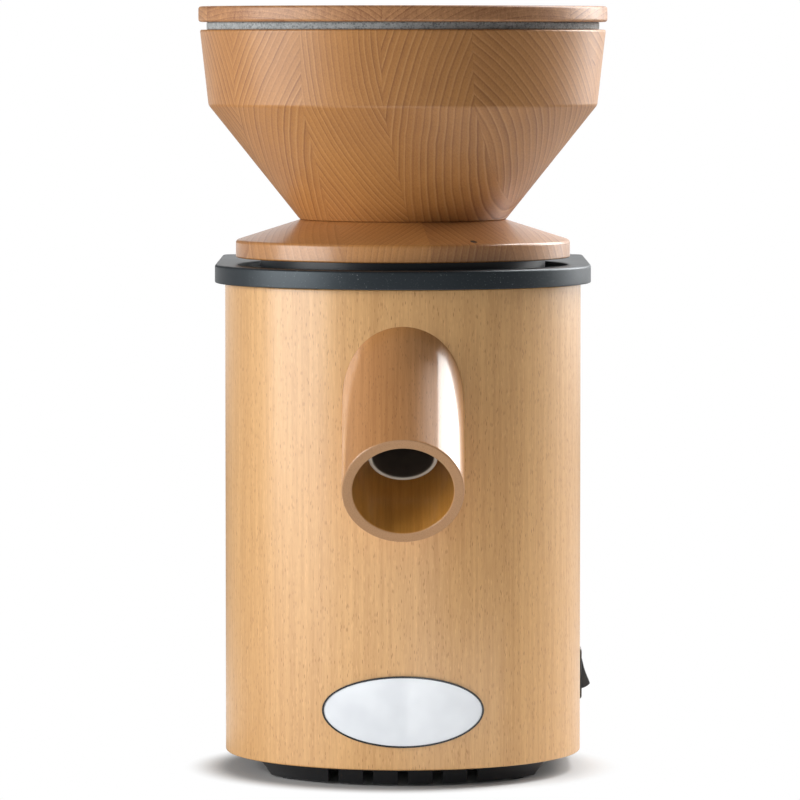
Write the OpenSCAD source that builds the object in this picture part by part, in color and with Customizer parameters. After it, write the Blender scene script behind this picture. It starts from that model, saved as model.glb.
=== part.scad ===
// Electric grain mill with stone burrs, as an assembly of separate pieces.
//
// Millimetres. The origin lies on the drive axis, at the level of the table.
// +Z points up along the drive axis and -Y points to the front, where the flour leaves the spout.
// Turning the hopper anticlockwise, seen from above, lifts the upper stone and gives coarser flour.

/* [Wooden body] */
// Width of the body across its straight sides, which is also twice the radius of its round front
body_w = 177.4; // [176.4:0.2:186]
// Height of the wooden body
body_h = 234; // [228:1:260]
// Height of the body's lower edge above the table
body_base_z = 9; // [8:0.5:14]
// Distance from the drive axis to the body's back face
body_back = 121; // [119:1:132]
// Thickness of the wooden walls
wall_t = 11; // [10:0.25:11.5]
// Rounding of the body's two upright back edges
body_corner = 3; // [1:0.5:8]
// Width of the rebate that the base tray fits into
rebate_w = 5; // [4.5:0.25:7]
// Height of that rebate
rebate_h = 4; // [3:0.5:7]
// Width of the square battens in the two back corners
batten_w = 14; // [12:0.5:17]

/* [Back panel] */
// Number of upright vent slots
vent_count = 9; // [3:1:11]
// Width of one vent slot
vent_w = 4; // [2:0.5:6]
// Length of the vent slots
vent_h = 62; // [20:1:80]
// Distance from one vent slot to the next
vent_pitch = 10; // [8:0.5:11]
// Height of the vent slots' centre above the body's lower edge
vent_z = 136; // [120:1:150]

/* [Top plate] */
// Thickness of the plate
plate_t = 9.2; // [8:0.2:14]
// How far the plate stands out past the body all round
plate_lip = 5.1; // [1:0.1:8]
// Rounding of the plate's two back corners
plate_corner = 7; // [2:0.5:12]
// Radius of the recess round the adjusting ring
recess_r = 82; // [81.6:0.1:83]
// Depth of that recess
recess_depth = 7; // [4:0.25:7.5]
// How far the threaded collar hangs below the plate
collar_h = 7; // [6.5:0.25:9]
// Thickness of the lip that centres the plate in the body
centring_t = 3; // [2:0.5:5]
// Height of that lip
centring_h = 5; // [3:0.5:6.5]

/* [Hopper] */
// Gap between the plate and the hopper's wooden flange
flange_gap = 3.4; // [2:0.1:6]
// Radius of the wooden flange
flange_r = 83.3; // [81:0.1:90]
// Height of the flange's upright rim
flange_rim_h = 8.1; // [5:0.1:12]
// Height of the flange's slope above its rim
flange_rise = 10.8; // [8:0.1:16]
// Radius of the neck between flange and bowl
neck_r = 51.4; // [46:0.1:60]
// Height of the bowl's conical part
cone_h = 56.8; // [50:0.2:75]
// How much narrower the rim is at its lower edge than at its upper edge
rim_taper = 4.2; // [2:0.1:8]
// Height of the bowl's rim
rim_h = 37.4; // [25:0.2:60]
// Radius of the bowl at its upper edge
rim_r = 101; // [98:0.1:106]
// Thickness of the bowl's wall at its upper edge
rim_wall = 10.5; // [8:0.1:14]
// Thickness of the bowl's wall at the edge between cone and rim
bowl_wall = 9.8; // [8:0.2:16]
// Depth of the cylindrical throat below the inner cone
throat_depth = 4.5; // [2:0.5:10]
// Bevel on the bowl's outer edges
bowl_bevel = 0.8; // [0.2:0.1:1.5]

/* [Feed tube] */
// Bore of the feed tube that leads the grain to the stones
feed_bore_r = 13.5; // [12:0.1:13.8]
// Wall of the feed tube
feed_wall = 2.3; // [1.5:0.1:3]
// Radius of the feed tube's mounting flange
feed_flange_r = 24; // [20:0.5:28]
// Thickness of that flange
feed_flange_t = 2; // [1.5:0.25:3]
// Width of the bars of the finger guard
guard_bar_w = 2; // [1.5:0.1:3]
// Height of the finger guard
guard_h = 3; // [2:0.25:5]

/* [Lid] */
// How far the lid stands out beyond the bowl's rim
lid_lap = 0.75; // [0.3:0.05:3]
// Play of the lid's boss in the bowl's mouth
lid_play = 1.1; // [0.4:0.1:2]
// Thickness of the lid
lid_t = 7.8; // [5:0.2:15]
// Rounding of the lid's edge
lid_round = 1.2; // [0.4:0.1:2]
// Thickness of the felt ring under the lid
felt_t = 3.8; // [2:0.1:6]
// Width of the felt ring
felt_w = 8.25; // [5:0.05:10]
// How far the lid's locating boss reaches into the mouth below the felt
boss_depth = 4.2; // [2:0.2:12]

/* [Grinding chamber] */
// Inner radius of the chamber
chamber_r = 70; // [69:0.1:70]
// Wall of the chamber
chamber_wall = 2.5; // [1.5:0.1:2.5]
// Depth of the chamber below the collar
chamber_depth = 36; // [35.4:0.2:40]
// Thickness of the chamber's floor and of its upper flange
chamber_floor_t = 4; // [3:0.5:6]
// Radius of the adjusting ring's thread
thread_r = 70.98; // [70.9:0.01:71.2]
// Thickness of the adjusting ring's skirt
ring_skirt = 9; // [6:0.5:12]
// Thickness of the adjusting ring's disc
ring_disc_t = 5.6; // [4:0.2:7]
// Outer radius of the backlash springs
spring_r = 2.9; // [2:0.1:3]
// Thickness of their wire
spring_wire = 0.8; // [0.5:0.1:1]
// Turns of each spring
spring_turns = 5; // [3:1:8]

/* [Stones] */
// Radius of both millstones
stone_r = 45; // [40:0.5:46]
// Thickness of each millstone
stone_t = 13.8; // [12:0.1:14]
// Gap between the stones at the finest setting
grind_gap = 0.4; // [0.3:0.05:0.6]
// Radius of the upper stone's eye
eye_r = 15; // [13:0.5:18]
// Bore of the lower stone
lower_bore_r = 12; // [11:0.5:14]
// Number of furrows in each stone
furrows = 12; // [4:1:16]
// Width of a furrow
furrow_w = 3; // [2:0.25:4]
// Depth of a furrow
furrow_depth = 0.9; // [0.4:0.1:1.5]
// Thickness of the plate that carries the upper stone
carrier_t = 4; // [3:0.25:5]
// Thickness of the hub that carries the lower stone
hub_t = 6; // [5:0.5:7]
// Reach of the flinger blades from the axis
blade_r = 57; // [52:0.5:58.5]
// Height of the flinger blades
blade_h = 15; // [8:0.5:18]
// Thickness of the flinger blades
blade_t = 4; // [2:0.5:6]

/* [Spout] */
// Angle of the spout below the horizontal
spout_tilt = 45; // [44:0.5:46]
// Angle at which the normal of the spout's cut end points below the horizontal
spout_cut = 31.5; // [15:0.5:45]
// Outer radius of the wooden spout
spout_r = 29.5; // [27:0.1:30]
// Wall of the wooden spout
spout_wall = 5.2; // [4:0.1:6]
// Reach of the spout's upper lip from the drive axis
spout_tip = 140; // [130:0.5:150]
// How far below the body's upper edge the spout's axis leaves the body
spout_drop = 59.7; // [58.5:0.1:61]
// Bore of the plastic flour pipe
liner_bore_r = 14.5; // [12:0.1:14.8]
// Wall of the flour pipe
liner_wall = 2.3; // [1.5:0.1:2.5]
// How far the flour pipe's end lies inside the spout's end, along the axis
liner_inset = 21.5; // [10:0.5:24]

/* [Motor] */
// Radius of the stator
stator_r = 52; // [46:0.5:53]
// Height of the stator
stator_h = 70; // [50:1:74]
// Inner radius of the stator
stator_bore_r = 32; // [30:0.25:33]
// Air gap between stator and rotor
air_gap = 0.4; // [0.3:0.05:1]
// Number of winding slots
slot_count = 12; // [6:2:16]
// Width of a winding slot
slot_w = 7; // [4:0.5:8]
// Depth of a winding slot
slot_depth = 11; // [8:0.5:12]
// How far the windings stand out past the stator
coil_h = 14; // [8:0.5:16]
// Wall of the two motor shields
shield_wall = 3.5; // [2.5:0.25:4]
// Depth of each shield beside the windings
shield_depth = 22; // [19:0.5:24]
// Height of the neck between motor and chamber
neck_h = 20; // [16:0.5:24]
// Radius of the motor shaft
shaft_r = 7.5; // [6:0.25:8]
// Radius of the shaft's threaded end
thread_end_r = 5; // [3.5:0.25:5.5]
// Outer radius of the ball bearings
bearing_r = 17.5; // [16:0.25:19]
// Width of the ball bearings
bearing_w = 11; // [9:0.5:12]
// Balls in each bearing
ball_count = 8; // [5:1:9]
// Radius of the cooling fan
fan_r = 44; // [30:0.5:56]
// Height of the cooling fan
fan_h = 14; // [8:0.5:16]
// Blades of the cooling fan
fan_blades = 9; // [5:1:14]

/* [Base] */
// Half width of the base's skirt under the body
skirt_top_w = 71; // [68:0.5:75]
// Half width of the skirt at its lower edge
skirt_low_w = 66; // [62:0.5:68]
// Radius of the skirt's bowed front at its lower edge
skirt_front = 79; // [76:0.5:81]
// Thickness of the skirt
skirt_t = 2.6; // [1.5:0.1:4]
// Gap between the skirt and the table
skirt_gap = 0.8; // [0.5:0.1:2]
// Width of an air slot in the skirt
air_slot_w = 5; // [3:0.5:8]
// Distance from one air slot to the next
air_slot_pitch = 17; // [12:0.5:24]
// Radius of the rubber feet
foot_r = 9; // [6:0.5:11]
// How far the feet stand out below their bosses
foot_h = 3; // [2:0.25:4]

/* [Switch] */
// Distance of the switch behind the drive axis
switch_y = 60; // [40:1:72]
// Height of the switch above the body's lower edge
switch_z = 31.8; // [28:0.2:60]
// Height of the switch bezel
bezel_h = 26; // [24:0.5:30]
// Width of the switch bezel
bezel_w = 19; // [18:0.5:26]
// Thickness of the switch bezel
bezel_t = 2.6; // [1.8:0.1:4]
// Bevel round the bezel
bezel_bevel = 1.5; // [0.5:0.1:1.7]
// Thickness of the wood that the switch is clipped into
switch_panel_t = 3; // [2:0.25:5]
// Radius of the rocker about its pin
rocker_r = 7.9; // [6:0.1:8.3]
// Width of the rocker
rocker_w = 13; // [10:0.5:14]
// Distance from the rocker's pin to the valley of its face
rocker_valley = 3.4; // [2.5:0.1:4.5]
// Angle of each half of the face to the straight line across it
rocker_kink = 5.5; // [2:0.5:12]
// Tilt of the rocker to either side
rocker_tilt = 18; // [10:0.5:20]

/* [Badge] */
// Width of the oval badge, straight across
badge_w = 79; // [40:0.5:100]
// Height of the oval badge
badge_h = 35; // [20:0.5:45]
// Thickness of the badge
badge_t = 0.8; // [0.5:0.1:2]
// Width of the rim round the badge
badge_rim_w = 0.9; // [0.5:0.1:3]
// Height of the badge's centre above the body's lower edge
badge_z = 28.7; // [24:0.1:60]

/* [Mains inlet] */
// Distance of the cable gland to the side of the drive axis
gland_x = 45; // [20:1:48]
// Height of the cable gland above the body's lower edge
gland_z = 25; // [20:1:60]
// Bore of the cable gland
gland_bore_r = 3.75; // [2.5:0.05:4.5]
// Reach of the cable gland behind the drive axis
gland_reach = 140; // [136:0.5:150]

/* [Hidden] */
$fn = 96;
// Fits
touch = 0.05;      // seat between fixed pieces
slack = 0.3;       // loose fit between fixed pieces
thread_play = 0.07; // radial play of the adjusting thread
pin_play = 0.05;   // radial play of the rocker's pin
cut = 1;           // how far a cutting tool reaches past the surface it cuts

// Plan of the body
body_r = body_w / 2;
cavity_r = body_r - wall_t;
panel_front = body_back - wall_t;

// Levels, from the table upwards
body_top = body_base_z + body_h;
tray_top = body_base_z + rebate_h - touch;
plate_top = body_top + plate_t;
recess_floor = plate_top - recess_depth;
flange_z = plate_top + flange_gap;
flange_rim_z = flange_z + flange_rim_h;
neck_z = flange_rim_z + flange_rise;
kink_z = neck_z + cone_h;
rim_z = kink_z + rim_h;
lid_z = rim_z + felt_t;
lid_top = lid_z + lid_t;

// Rim of the bowl and what the lid has over it
kink_r = rim_r - rim_taper;
mouth_r = rim_r - rim_wall;
lid_r = rim_r + lid_lap;
boss_r = mouth_r - lid_play;
felt_inner_r = boss_r + touch;

// Grinding chamber, from its top edge down and from its floor up
chamber_top = body_top - collar_h;
chamber_floor = chamber_top - chamber_depth;
chamber_bottom = chamber_floor - chamber_floor_t;
chamber_flange_r = cavity_r - 2 * slack;
chamber_screw_r = (chamber_r + chamber_wall + chamber_flange_r) / 2;
hub_clear = 1;
hub_z = chamber_floor + hub_clear;
hub_r = stone_r + 1;
lower_stone_z = hub_z + hub_t;
upper_stone_z = lower_stone_z + stone_t + grind_gap;
carrier_z = upper_stone_z + stone_t;
carrier_top = carrier_z + carrier_t;
carrier_r = chamber_r - 1.6;
ring_z = carrier_top + slack;
ring_disc_z = flange_z - ring_disc_t;
ring_skirt_r = thread_r - ring_skirt;

// Feed tube and throat
feed_r = feed_bore_r + feed_wall;
throat_r = feed_r + slack;
throat_z = neck_z + throat_depth;
feed_z = carrier_top + 1;
feed_h = throat_z - feed_z;
feed_screw_r = (feed_r + feed_flange_r) / 2;

// Keys and springs of the upper stone's carrier
key_w = 5;
key_r = carrier_r - 2.2;
key_drop = 6;
lug_w = 14;
lug_r = carrier_r - 8;
spring_ring_r = (blade_r + chamber_r) / 2 + 0.5;
spring_seat_z = carrier_z - 13;
spring_turn = -30;

// Spout
spout_bore_r = spout_r - spout_wall;
spout_level = body_top - spout_drop;
spout_lip_ahead = spout_r * sin(spout_cut) / cos(spout_tilt - spout_cut);
spout_end = (spout_tip - spout_lip_ahead - body_r) / cos(spout_tilt);
liner_r = liner_bore_r + liner_wall;
liner_end = spout_end - liner_inset;
liner_start = -14;
outlet_r = liner_r + slack + 2.5;
outlet_in = 40;
outlet_out = -2;
liner_stop = 10;
liner_stop_t = 2.5;

// Motor
shield_r = stator_r + shield_wall;
shield_disc_t = 4;
upper_disc_z = chamber_bottom - neck_h - shield_disc_t;
stator_top = upper_disc_z - shield_depth;
stator_z = stator_top - stator_h;
lower_disc_z = stator_z - shield_depth - shield_disc_t;
shield_lap = 4;
slot_lip = 1.5;
rotor_r = stator_bore_r - air_gap;
neck_ring_r = 44;
neck_ring_t = 8;
race_t = 3;
ball_ring_r = (shaft_r + bearing_r) / 2;
ball_r = (bearing_r - shaft_r) / 2 - race_t - 0.2;
bearing_seat_t = 4;
bolt_r = 2.5;
bolt_ring_r = shield_r + 4.5;
ear_r = 5.5;
ear_h = 8;
fan_z = lower_disc_z - fan_h - 4;
shaft_z = fan_z - 2;
nut_h = 6;
nut_r = 8;
hub_boss_h = 4;
nut_z = lower_stone_z + hub_boss_h;
shaft_top = nut_z + nut_h + 2;
seal_r = shaft_r + 4.5;

// Base
skirt_h = body_base_z - skirt_gap;
skirt_top_front = skirt_front + (skirt_top_w - skirt_low_w);
skirt_back = panel_front - 10;
foot_stem_r = 3;
foot_stem_h = 5;
air_ring_r = 24;
air_hole_r = 4;
inner_air_ring_r = 10;
inner_air_hole_r = 3;
foot_side_inset = 6;
foot_front_inset = 26;
foot_back_inset = 10;
foot_x = skirt_low_w - foot_r - foot_side_inset;
foot_front_y = -(skirt_front - foot_r - foot_front_inset);
foot_back_y = skirt_back - foot_r - foot_back_inset;

// Switch and mains inlet
switch_level = body_base_z + switch_z;
pivot_out = 1;
pivot_x = body_r + pivot_out;
rocker_clear = 0.3;
pin_r = 1.2;
pin_len = 1;
switch_body_w = rocker_w + 2 * rocker_clear + 3;
switch_body_h = 2 * (rocker_r + rocker_clear) + 6;
switch_body_depth = 23;
gland_level = body_base_z + gland_z;
gland_thread_r = 6.9;
gland_hex_r = 11;
gland_hex_t = 5;
gland_nut_t = 6;

// Screws: shank radius, head radius
m3_r = 1.5;
m3_head_r = 2.1;
m4_r = 2;
m4_head_r = 3.6;
wood_r = 1.7;
wood_head_r = 3.4;
plate_screw_len = 13;
base_screw_len = 16;
base_screw_turn = 14;
base_screw_near = 38;
base_screw_far = 92;
back_screw_len = 20;
back_screw_inset = 22;
chamber_screw_len = chamber_floor_t + 6;
mount_screw_len = 16;
stone_screw_len = 11;
hopper_screw_len = flange_rim_h + flange_rise + 12;
hopper_screw_turn = 30;
ring_screw_len = 14;

// Setting dot on the flange's slope
dot_r = 1.7;
dot_t = 1.5;
dot_inward = 3.4;
dot_turn = 26;

// Run capacitor and terminal block
capacitor_r = 17.5;
capacitor_h = 68;
capacitor_x = -42;
capacitor_y = 82;
tab_w = 6;
tab_t = 0.8;
tab_h = 8;
clamp_t = 2.2;
clamp_h = 16;
block_size = [40, 12, 17];
block_x = -4;
block_z = 74;

// ---------------------------------------------------------------- helpers

// Plan of the body: a round front, straight sides and a flat back
module body_outline(r, back, corner) {
  circle(r = r);
  translate([-r, 0]) square([2 * r, back - corner]);
  translate([corner - r, 0]) square([2 * (r - corner), back]);
  for (side = [-1, 1])
    translate([side * (r - corner), back - corner]) circle(r = corner);
}

// Plan of the space inside the body, open at the back
module cavity_outline(r, back) {
  circle(r = r);
  translate([-r, 0]) square([2 * r, back]);
}

module tube(r_out, r_in, h) {
  difference() {
    cylinder(r = r_out, h = h);
    translate([0, 0, -cut]) cylinder(r = r_in, h = h + 2 * cut);
  }
}

// Copies in a circle, the first one at the angle start from +X
module around(count, radius, start = 0) {
  for (i = [0 : count - 1])
    rotate(start + i * 360 / count) translate([radius, 0, 0]) children();
}

// Countersunk screw, its head's top at the origin and its point towards -Z
module countersunk(len, r, head_r) {
  difference() {
    union() {
      translate([0, 0, -len]) cylinder(r = r, h = len);
      translate([0, 0, r - head_r]) cylinder(r1 = r, r2 = head_r, h = head_r - r);
    }
    cross_recess(head_r);
  }
}

module countersunk_hole(len, r, head_r) {
  translate([0, 0, -len - touch]) cylinder(r = r + touch, h = len);
  translate([0, 0, r - head_r])
    cylinder(r1 = r + touch, r2 = head_r + touch + cut, h = head_r - r + cut);
}

// Screw with a flat round head above the origin
module pan_screw(len, r, head_r, head_h) {
  difference() {
    union() {
      translate([0, 0, -len]) cylinder(r = r, h = len + head_h / 2);
      cylinder(r = head_r, h = head_h);
    }
    translate([0, 0, head_h]) cross_recess(head_r);
  }
}

module cross_recess(head_r) {
  arm = 1.1 * head_r;
  width = 0.28 * head_r;
  for (turn = [0, 90])
    rotate(turn) translate([-arm / 2, -width / 2, -head_r * 0.35])
      cube([arm, width, head_r * 0.35 + cut]);
}

// Frame of the spout: its origin where the axis leaves the body, +Z out along the axis
module on_spout() {
  translate([0, -body_r, spout_level]) rotate([90 + spout_tilt, 0, 0]) children();
}

// ---------------------------------------------------------------- body

module plate_screw_places() {
  for (turn = [-180, -142, -38, 0])
    rotate(turn) translate([recess_r - m3_head_r - 0.2, 0, recess_floor]) children();
}

// Beside the skirt, in the rebate that the base tray fits into
module base_screw_places() {
  for (turn = [-180 + base_screw_turn, -base_screw_turn])
    rotate(turn) translate([cavity_r + rebate_w / 2, 0, body_base_z]) rotate([180, 0, 0]) children();
  for (side = [-1, 1])
    for (y = [base_screw_near, base_screw_far])
      translate([side * (cavity_r + rebate_w / 2), y, body_base_z]) rotate([180, 0, 0]) children();
}

module back_screw_places() {
  for (side = [-1, 1])
    for (z = [body_base_z + back_screw_inset, (body_base_z + body_top) / 2, body_top - back_screw_inset])
      translate([side * (cavity_r - batten_w / 2), body_back, z]) rotate([-90, 0, 0]) children();
}

module housing_shell() color("burlywood") {
  difference() {
    union() {
      difference() {
        translate([0, 0, body_base_z])
          linear_extrude(body_h) body_outline(body_r, body_back, body_corner);
        translate([0, 0, body_base_z - cut])
          linear_extrude(body_h + 2 * cut) cavity_outline(cavity_r, body_back + cut);
        translate([0, 0, body_base_z - cut])
          linear_extrude(rebate_h + cut) cavity_outline(cavity_r + rebate_w, panel_front);
      }
      for (side = [0, 1])
        mirror([side, 0, 0])
          translate([cavity_r - batten_w, panel_front - batten_w, body_base_z + rebate_h])
            cube([batten_w + cut, batten_w, body_h - rebate_h - centring_h - slack]);
    }
    on_spout() translate([0, 0, -2 * spout_r]) cylinder(r = spout_r + touch, h = 4 * spout_r);
    plate_screw_places() translate([0, 0, -plate_screw_len - touch])
      cylinder(r = m3_r + touch, h = plate_screw_len + cut);
    base_screw_places() countersunk_hole(base_screw_len, wood_r, wood_head_r);
    back_screw_places() countersunk_hole(back_screw_len, wood_r, wood_head_r);
    switch_cutout();
  }
}

module switch_cutout() {
  pocket = 5;
  translate([cavity_r - cut, switch_y - bezel_w / 2 - pocket, switch_level - bezel_h / 2 - pocket])
    cube([wall_t - switch_panel_t + cut, bezel_w + 2 * pocket, bezel_h + 2 * pocket]);
  translate([body_r - wall_t, switch_y - switch_body_w / 2 - touch,
             switch_level - switch_body_h / 2 - touch])
    cube([wall_t + cut, switch_body_w + 2 * touch, switch_body_h + 2 * touch]);
}

module back_panel() color("burlywood") {
  difference() {
    translate([touch - cavity_r, panel_front + touch, body_base_z])
      cube([2 * (cavity_r - touch), wall_t - touch, body_h]);
    for (i = [0 : vent_count - 1])
      translate([(i - (vent_count - 1) / 2) * vent_pitch, 0, body_base_z + vent_z]) vent_slot();
    translate([gland_x, panel_front - cut, gland_level]) rotate([-90, 0, 0])
      cylinder(r = gland_thread_r + touch, h = wall_t + 2 * cut);
    back_screw_places() countersunk_hole(back_screw_len, wood_r, wood_head_r);
  }
}

// One upright slot with round ends, cut right through the back panel
module vent_slot() {
  straight = vent_h - vent_w;
  translate([-vent_w / 2, panel_front - cut, -straight / 2])
    cube([vent_w, wall_t + 2 * cut, straight]);
  for (end = [-1, 1])
    translate([0, panel_front - cut, end * straight / 2]) rotate([-90, 0, 0])
      cylinder(r = vent_w / 2, h = wall_t + 2 * cut);
}

module back_panel_screws() color("silver") {
  back_screw_places() countersunk(back_screw_len, wood_r, wood_head_r);
}

module top_plate() color("darkslategray") {
  difference() {
    union() {
      translate([0, 0, body_top]) linear_extrude(plate_t)
        body_outline(body_r + plate_lip, body_back + plate_lip, plate_corner);
      translate([0, 0, chamber_top]) cylinder(r = chamber_flange_r, h = collar_h + cut);
      translate([0, 0, body_top - centring_h]) linear_extrude(centring_h + cut) difference() {
        cavity_outline(cavity_r - slack, panel_front - slack);
        circle(r = chamber_flange_r - cut);
        translate([centring_t - cavity_r, 0])
          square([2 * (cavity_r - centring_t), panel_front - centring_t - slack]);
      }
    }
    translate([0, 0, recess_floor]) cylinder(r = recess_r, h = recess_depth + cut);
    translate([0, 0, chamber_top - cut])
      cylinder(r = thread_r + thread_play, h = collar_h + plate_t + 2 * cut);
    plate_screw_places() translate([0, 0, -plate_screw_len])
      cylinder(r = m3_r + touch, h = plate_screw_len + cut);
    chamber_screw_places() translate([0, 0, -chamber_screw_len - touch])
      cylinder(r = m3_r + touch, h = chamber_screw_len);
  }
}

module plate_screws() color("silver") {
  plate_screw_places() pan_screw(plate_screw_len, m3_r, m3_head_r, 2);
}

// ---------------------------------------------------------------- grinding chamber

// The heads lie under the chamber's flange and the points reach up into the collar
module chamber_screw_places() {
  around(4, chamber_screw_r, 45)
    translate([0, 0, chamber_top - chamber_floor_t]) rotate([180, 0, 0]) children();
}

module mount_screw_places() {
  around(4, neck_ring_r - neck_ring_t / 2, 45) translate([0, 0, chamber_floor]) children();
}

module spring_places() {
  around(3, spring_ring_r, spring_turn) children();
}

module grinding_chamber() color("whitesmoke") {
  difference() {
    union() {
      difference() {
        union() {
          translate([0, 0, chamber_bottom])
            cylinder(r = chamber_r + chamber_wall, h = chamber_top - chamber_bottom);
          translate([0, 0, chamber_top - chamber_floor_t])
            cylinder(r = chamber_flange_r, h = chamber_floor_t);
          on_spout() translate([0, 0, -outlet_in]) cylinder(r = outlet_r, h = outlet_in + outlet_out);
        }
        translate([0, 0, chamber_floor]) cylinder(r = chamber_r, h = chamber_depth + cut);
      }
      key_ribs();
      spring_places() translate([0, 0, chamber_floor - cut])
        cylinder(r = spring_r + 0.4, h = spring_seat_z - chamber_floor + cut);
    }
    on_spout() translate([0, 0, -outlet_in - 2 * liner_bore_r])
      cylinder(r = liner_bore_r, h = outlet_in + 2 * liner_bore_r);
    on_spout() translate([0, 0, liner_start - touch])
      cylinder(r = liner_r + touch, h = outlet_out - liner_start + cut);
    translate([0, 0, chamber_bottom - cut])
      cylinder(r = seal_r + touch, h = chamber_floor_t + 2 * cut);
    chamber_screw_places() translate([0, 0, -chamber_floor_t - cut])
      cylinder(r = m3_r + touch, h = chamber_floor_t + 2 * cut);
    mount_screw_places() countersunk_hole(chamber_floor_t + cut, m4_r, m4_head_r);
  }
}

// Upright keys on the chamber's wall that stop the carrier from turning
module key_ribs() {
  rib_h = chamber_top - carrier_z + key_drop + 4;
  for (turn = [-90, 30, 150])
    rotate(turn) translate([key_r + slack, -key_w / 2, chamber_top - rib_h])
      cube([chamber_r + chamber_wall / 2 - key_r - slack, key_w, rib_h]);
}

module chamber_screws() color("silver") {
  chamber_screw_places() pan_screw(chamber_screw_len, m3_r, m3_head_r, 2);
}

// A helical spring as a closed sweep of a round wire
module backlash_springs() color("silver") {
  spring_places() translate([0, 0, spring_seat_z]) helix(spring_r, spring_wire, carrier_z - spring_seat_z);
}

module helix(r, wire, h) {
  sides = 6;
  steps = 14 * spring_turns;
  coil_r = r - wire / 2;
  rise = h - wire;
  points = [
    for (i = [0 : steps], j = [0 : sides - 1])
      let (
        turn = i * 360 * spring_turns / steps,
        around_wire = j * 360 / sides,
        reach = coil_r + wire / 2 * cos(around_wire)
      )
      [reach * cos(turn), reach * sin(turn),
       wire / 2 + rise * i / steps + wire / 2 * sin(around_wire)]
  ];
  sides_of = [
    for (i = [0 : steps - 1], j = [0 : sides - 1])
      let (k = (j + 1) % sides)
      [i * sides + j, (i + 1) * sides + j, (i + 1) * sides + k, i * sides + k]
  ];
  caps = [[for (j = [0 : sides - 1]) j], [for (j = [sides - 1 : -1 : 0]) steps * sides + j]];
  polyhedron(points = points, faces = concat(sides_of, caps));
}

module shaft_seal() color("dimgray") {
  translate([0, 0, chamber_bottom]) tube(seal_r, shaft_r + slack, chamber_floor_t);
}

// ---------------------------------------------------------------- spout

module spout_tube() color("peru") {
  far = 3 * spout_r;
  difference() {
    on_spout() translate([0, 0, -far]) cylinder(r = spout_r, h = far + spout_end + spout_r);
    on_spout() translate([0, 0, -far - cut])
      cylinder(r = spout_bore_r, h = far + spout_end + spout_r + 2 * cut);
    translate([0, 0, spout_level - far]) cylinder(r = cavity_r, h = 2 * far);
    on_spout() translate([0, 0, spout_end]) rotate([spout_cut - spout_tilt, 0, 0])
      translate([-far, -far, 0]) cube(2 * far);
  }
}

module outlet_liner() color("gainsboro") {
  on_spout() {
    translate([0, 0, liner_start]) tube(liner_r, liner_bore_r, liner_end - liner_start);
    translate([0, 0, liner_stop]) tube(spout_bore_r - slack, liner_r - touch, liner_stop_t);
  }
}

// ---------------------------------------------------------------- motor

module tie_bolt_places() {
  around(4, bolt_ring_r, 45) children();
}

module bearing_places() {
  for (z = [lower_disc_z + shield_disc_t, upper_disc_z - bearing_w])
    translate([0, 0, z]) children();
}

module motor_upper_shield() color("lightslategray") {
  difference() {
    union() {
      translate([0, 0, stator_top - shield_lap])
        tube(shield_r, stator_r + touch, shield_depth + shield_lap);
      translate([0, 0, upper_disc_z]) cylinder(r = shield_r, h = shield_disc_t);
      translate([0, 0, upper_disc_z - bearing_w])
        cylinder(r = bearing_r + bearing_seat_t, h = bearing_w + cut);
      translate([0, 0, upper_disc_z])
        tube(neck_ring_r, neck_ring_r - neck_ring_t, chamber_bottom - upper_disc_z);
      tie_bolt_places() translate([0, 0, upper_disc_z + shield_disc_t - ear_h])
        ear();
    }
    translate([0, 0, upper_disc_z - bearing_w - cut]) cylinder(r = bearing_r + touch, h = bearing_w + cut);
    cylinder(r = seal_r, h = body_top);
    mount_screw_places() translate([0, 0, -mount_screw_len - touch])
      cylinder(r = m4_r + touch, h = mount_screw_len);
    tie_bolt_places() cylinder(r = bolt_r + touch, h = body_top);
    neck_windows();
  }
}

// Openings in the motor's neck that let the cooling air out
module neck_windows() {
  window_w = 30;
  window_h = neck_h - 12;
  for (turn = [0, 90])
    rotate(turn) translate([-neck_ring_r - cut, -window_w / 2, upper_disc_z + shield_disc_t])
      cube([2 * (neck_ring_r + cut), window_w, window_h]);
}

// Lug on a motor shield that a tie bolt passes through
module ear() {
  cylinder(r = ear_r, h = ear_h);
  translate([-ear_r - shield_wall / 2, -ear_r, 0]) cube([ear_r + shield_wall / 2, 2 * ear_r, ear_h]);
}

module motor_lower_shield() color("lightslategray") {
  vent_r = 6;
  difference() {
    union() {
      translate([0, 0, lower_disc_z])
        tube(shield_r, stator_r + touch, shield_depth + shield_disc_t + shield_lap);
      translate([0, 0, lower_disc_z]) cylinder(r = shield_r, h = shield_disc_t);
      translate([0, 0, lower_disc_z])
        cylinder(r = bearing_r + bearing_seat_t, h = bearing_w + shield_disc_t);
      tie_bolt_places() translate([0, 0, lower_disc_z]) ear();
    }
    translate([0, 0, lower_disc_z + shield_disc_t]) cylinder(r = bearing_r + touch, h = bearing_w + cut);
    translate([0, 0, lower_disc_z - cut]) cylinder(r = seal_r, h = shield_disc_t + 2 * cut);
    tie_bolt_places() cylinder(r = bolt_r + touch, h = body_top);
    around(8, (bearing_r + bearing_seat_t + stator_r) / 2, 22.5)
      translate([0, 0, lower_disc_z - cut]) cylinder(r = vent_r, h = shield_disc_t + 2 * cut);
  }
}

module motor_mount_screws() color("silver") {
  mount_screw_places() countersunk(mount_screw_len, m4_r, m4_head_r);
}

module motor_tie_bolts() color("silver") {
  grip = upper_disc_z + shield_disc_t - lower_disc_z;
  head_r = 4.2;
  head_h = 4;
  tie_bolt_places() {
    translate([0, 0, lower_disc_z - head_h / 2]) cylinder(r = bolt_r, h = grip + head_h);
    for (z = [lower_disc_z - head_h, upper_disc_z + shield_disc_t])
      translate([0, 0, z]) cylinder(r = head_r, h = head_h, $fn = 6);
  }
}

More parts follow.
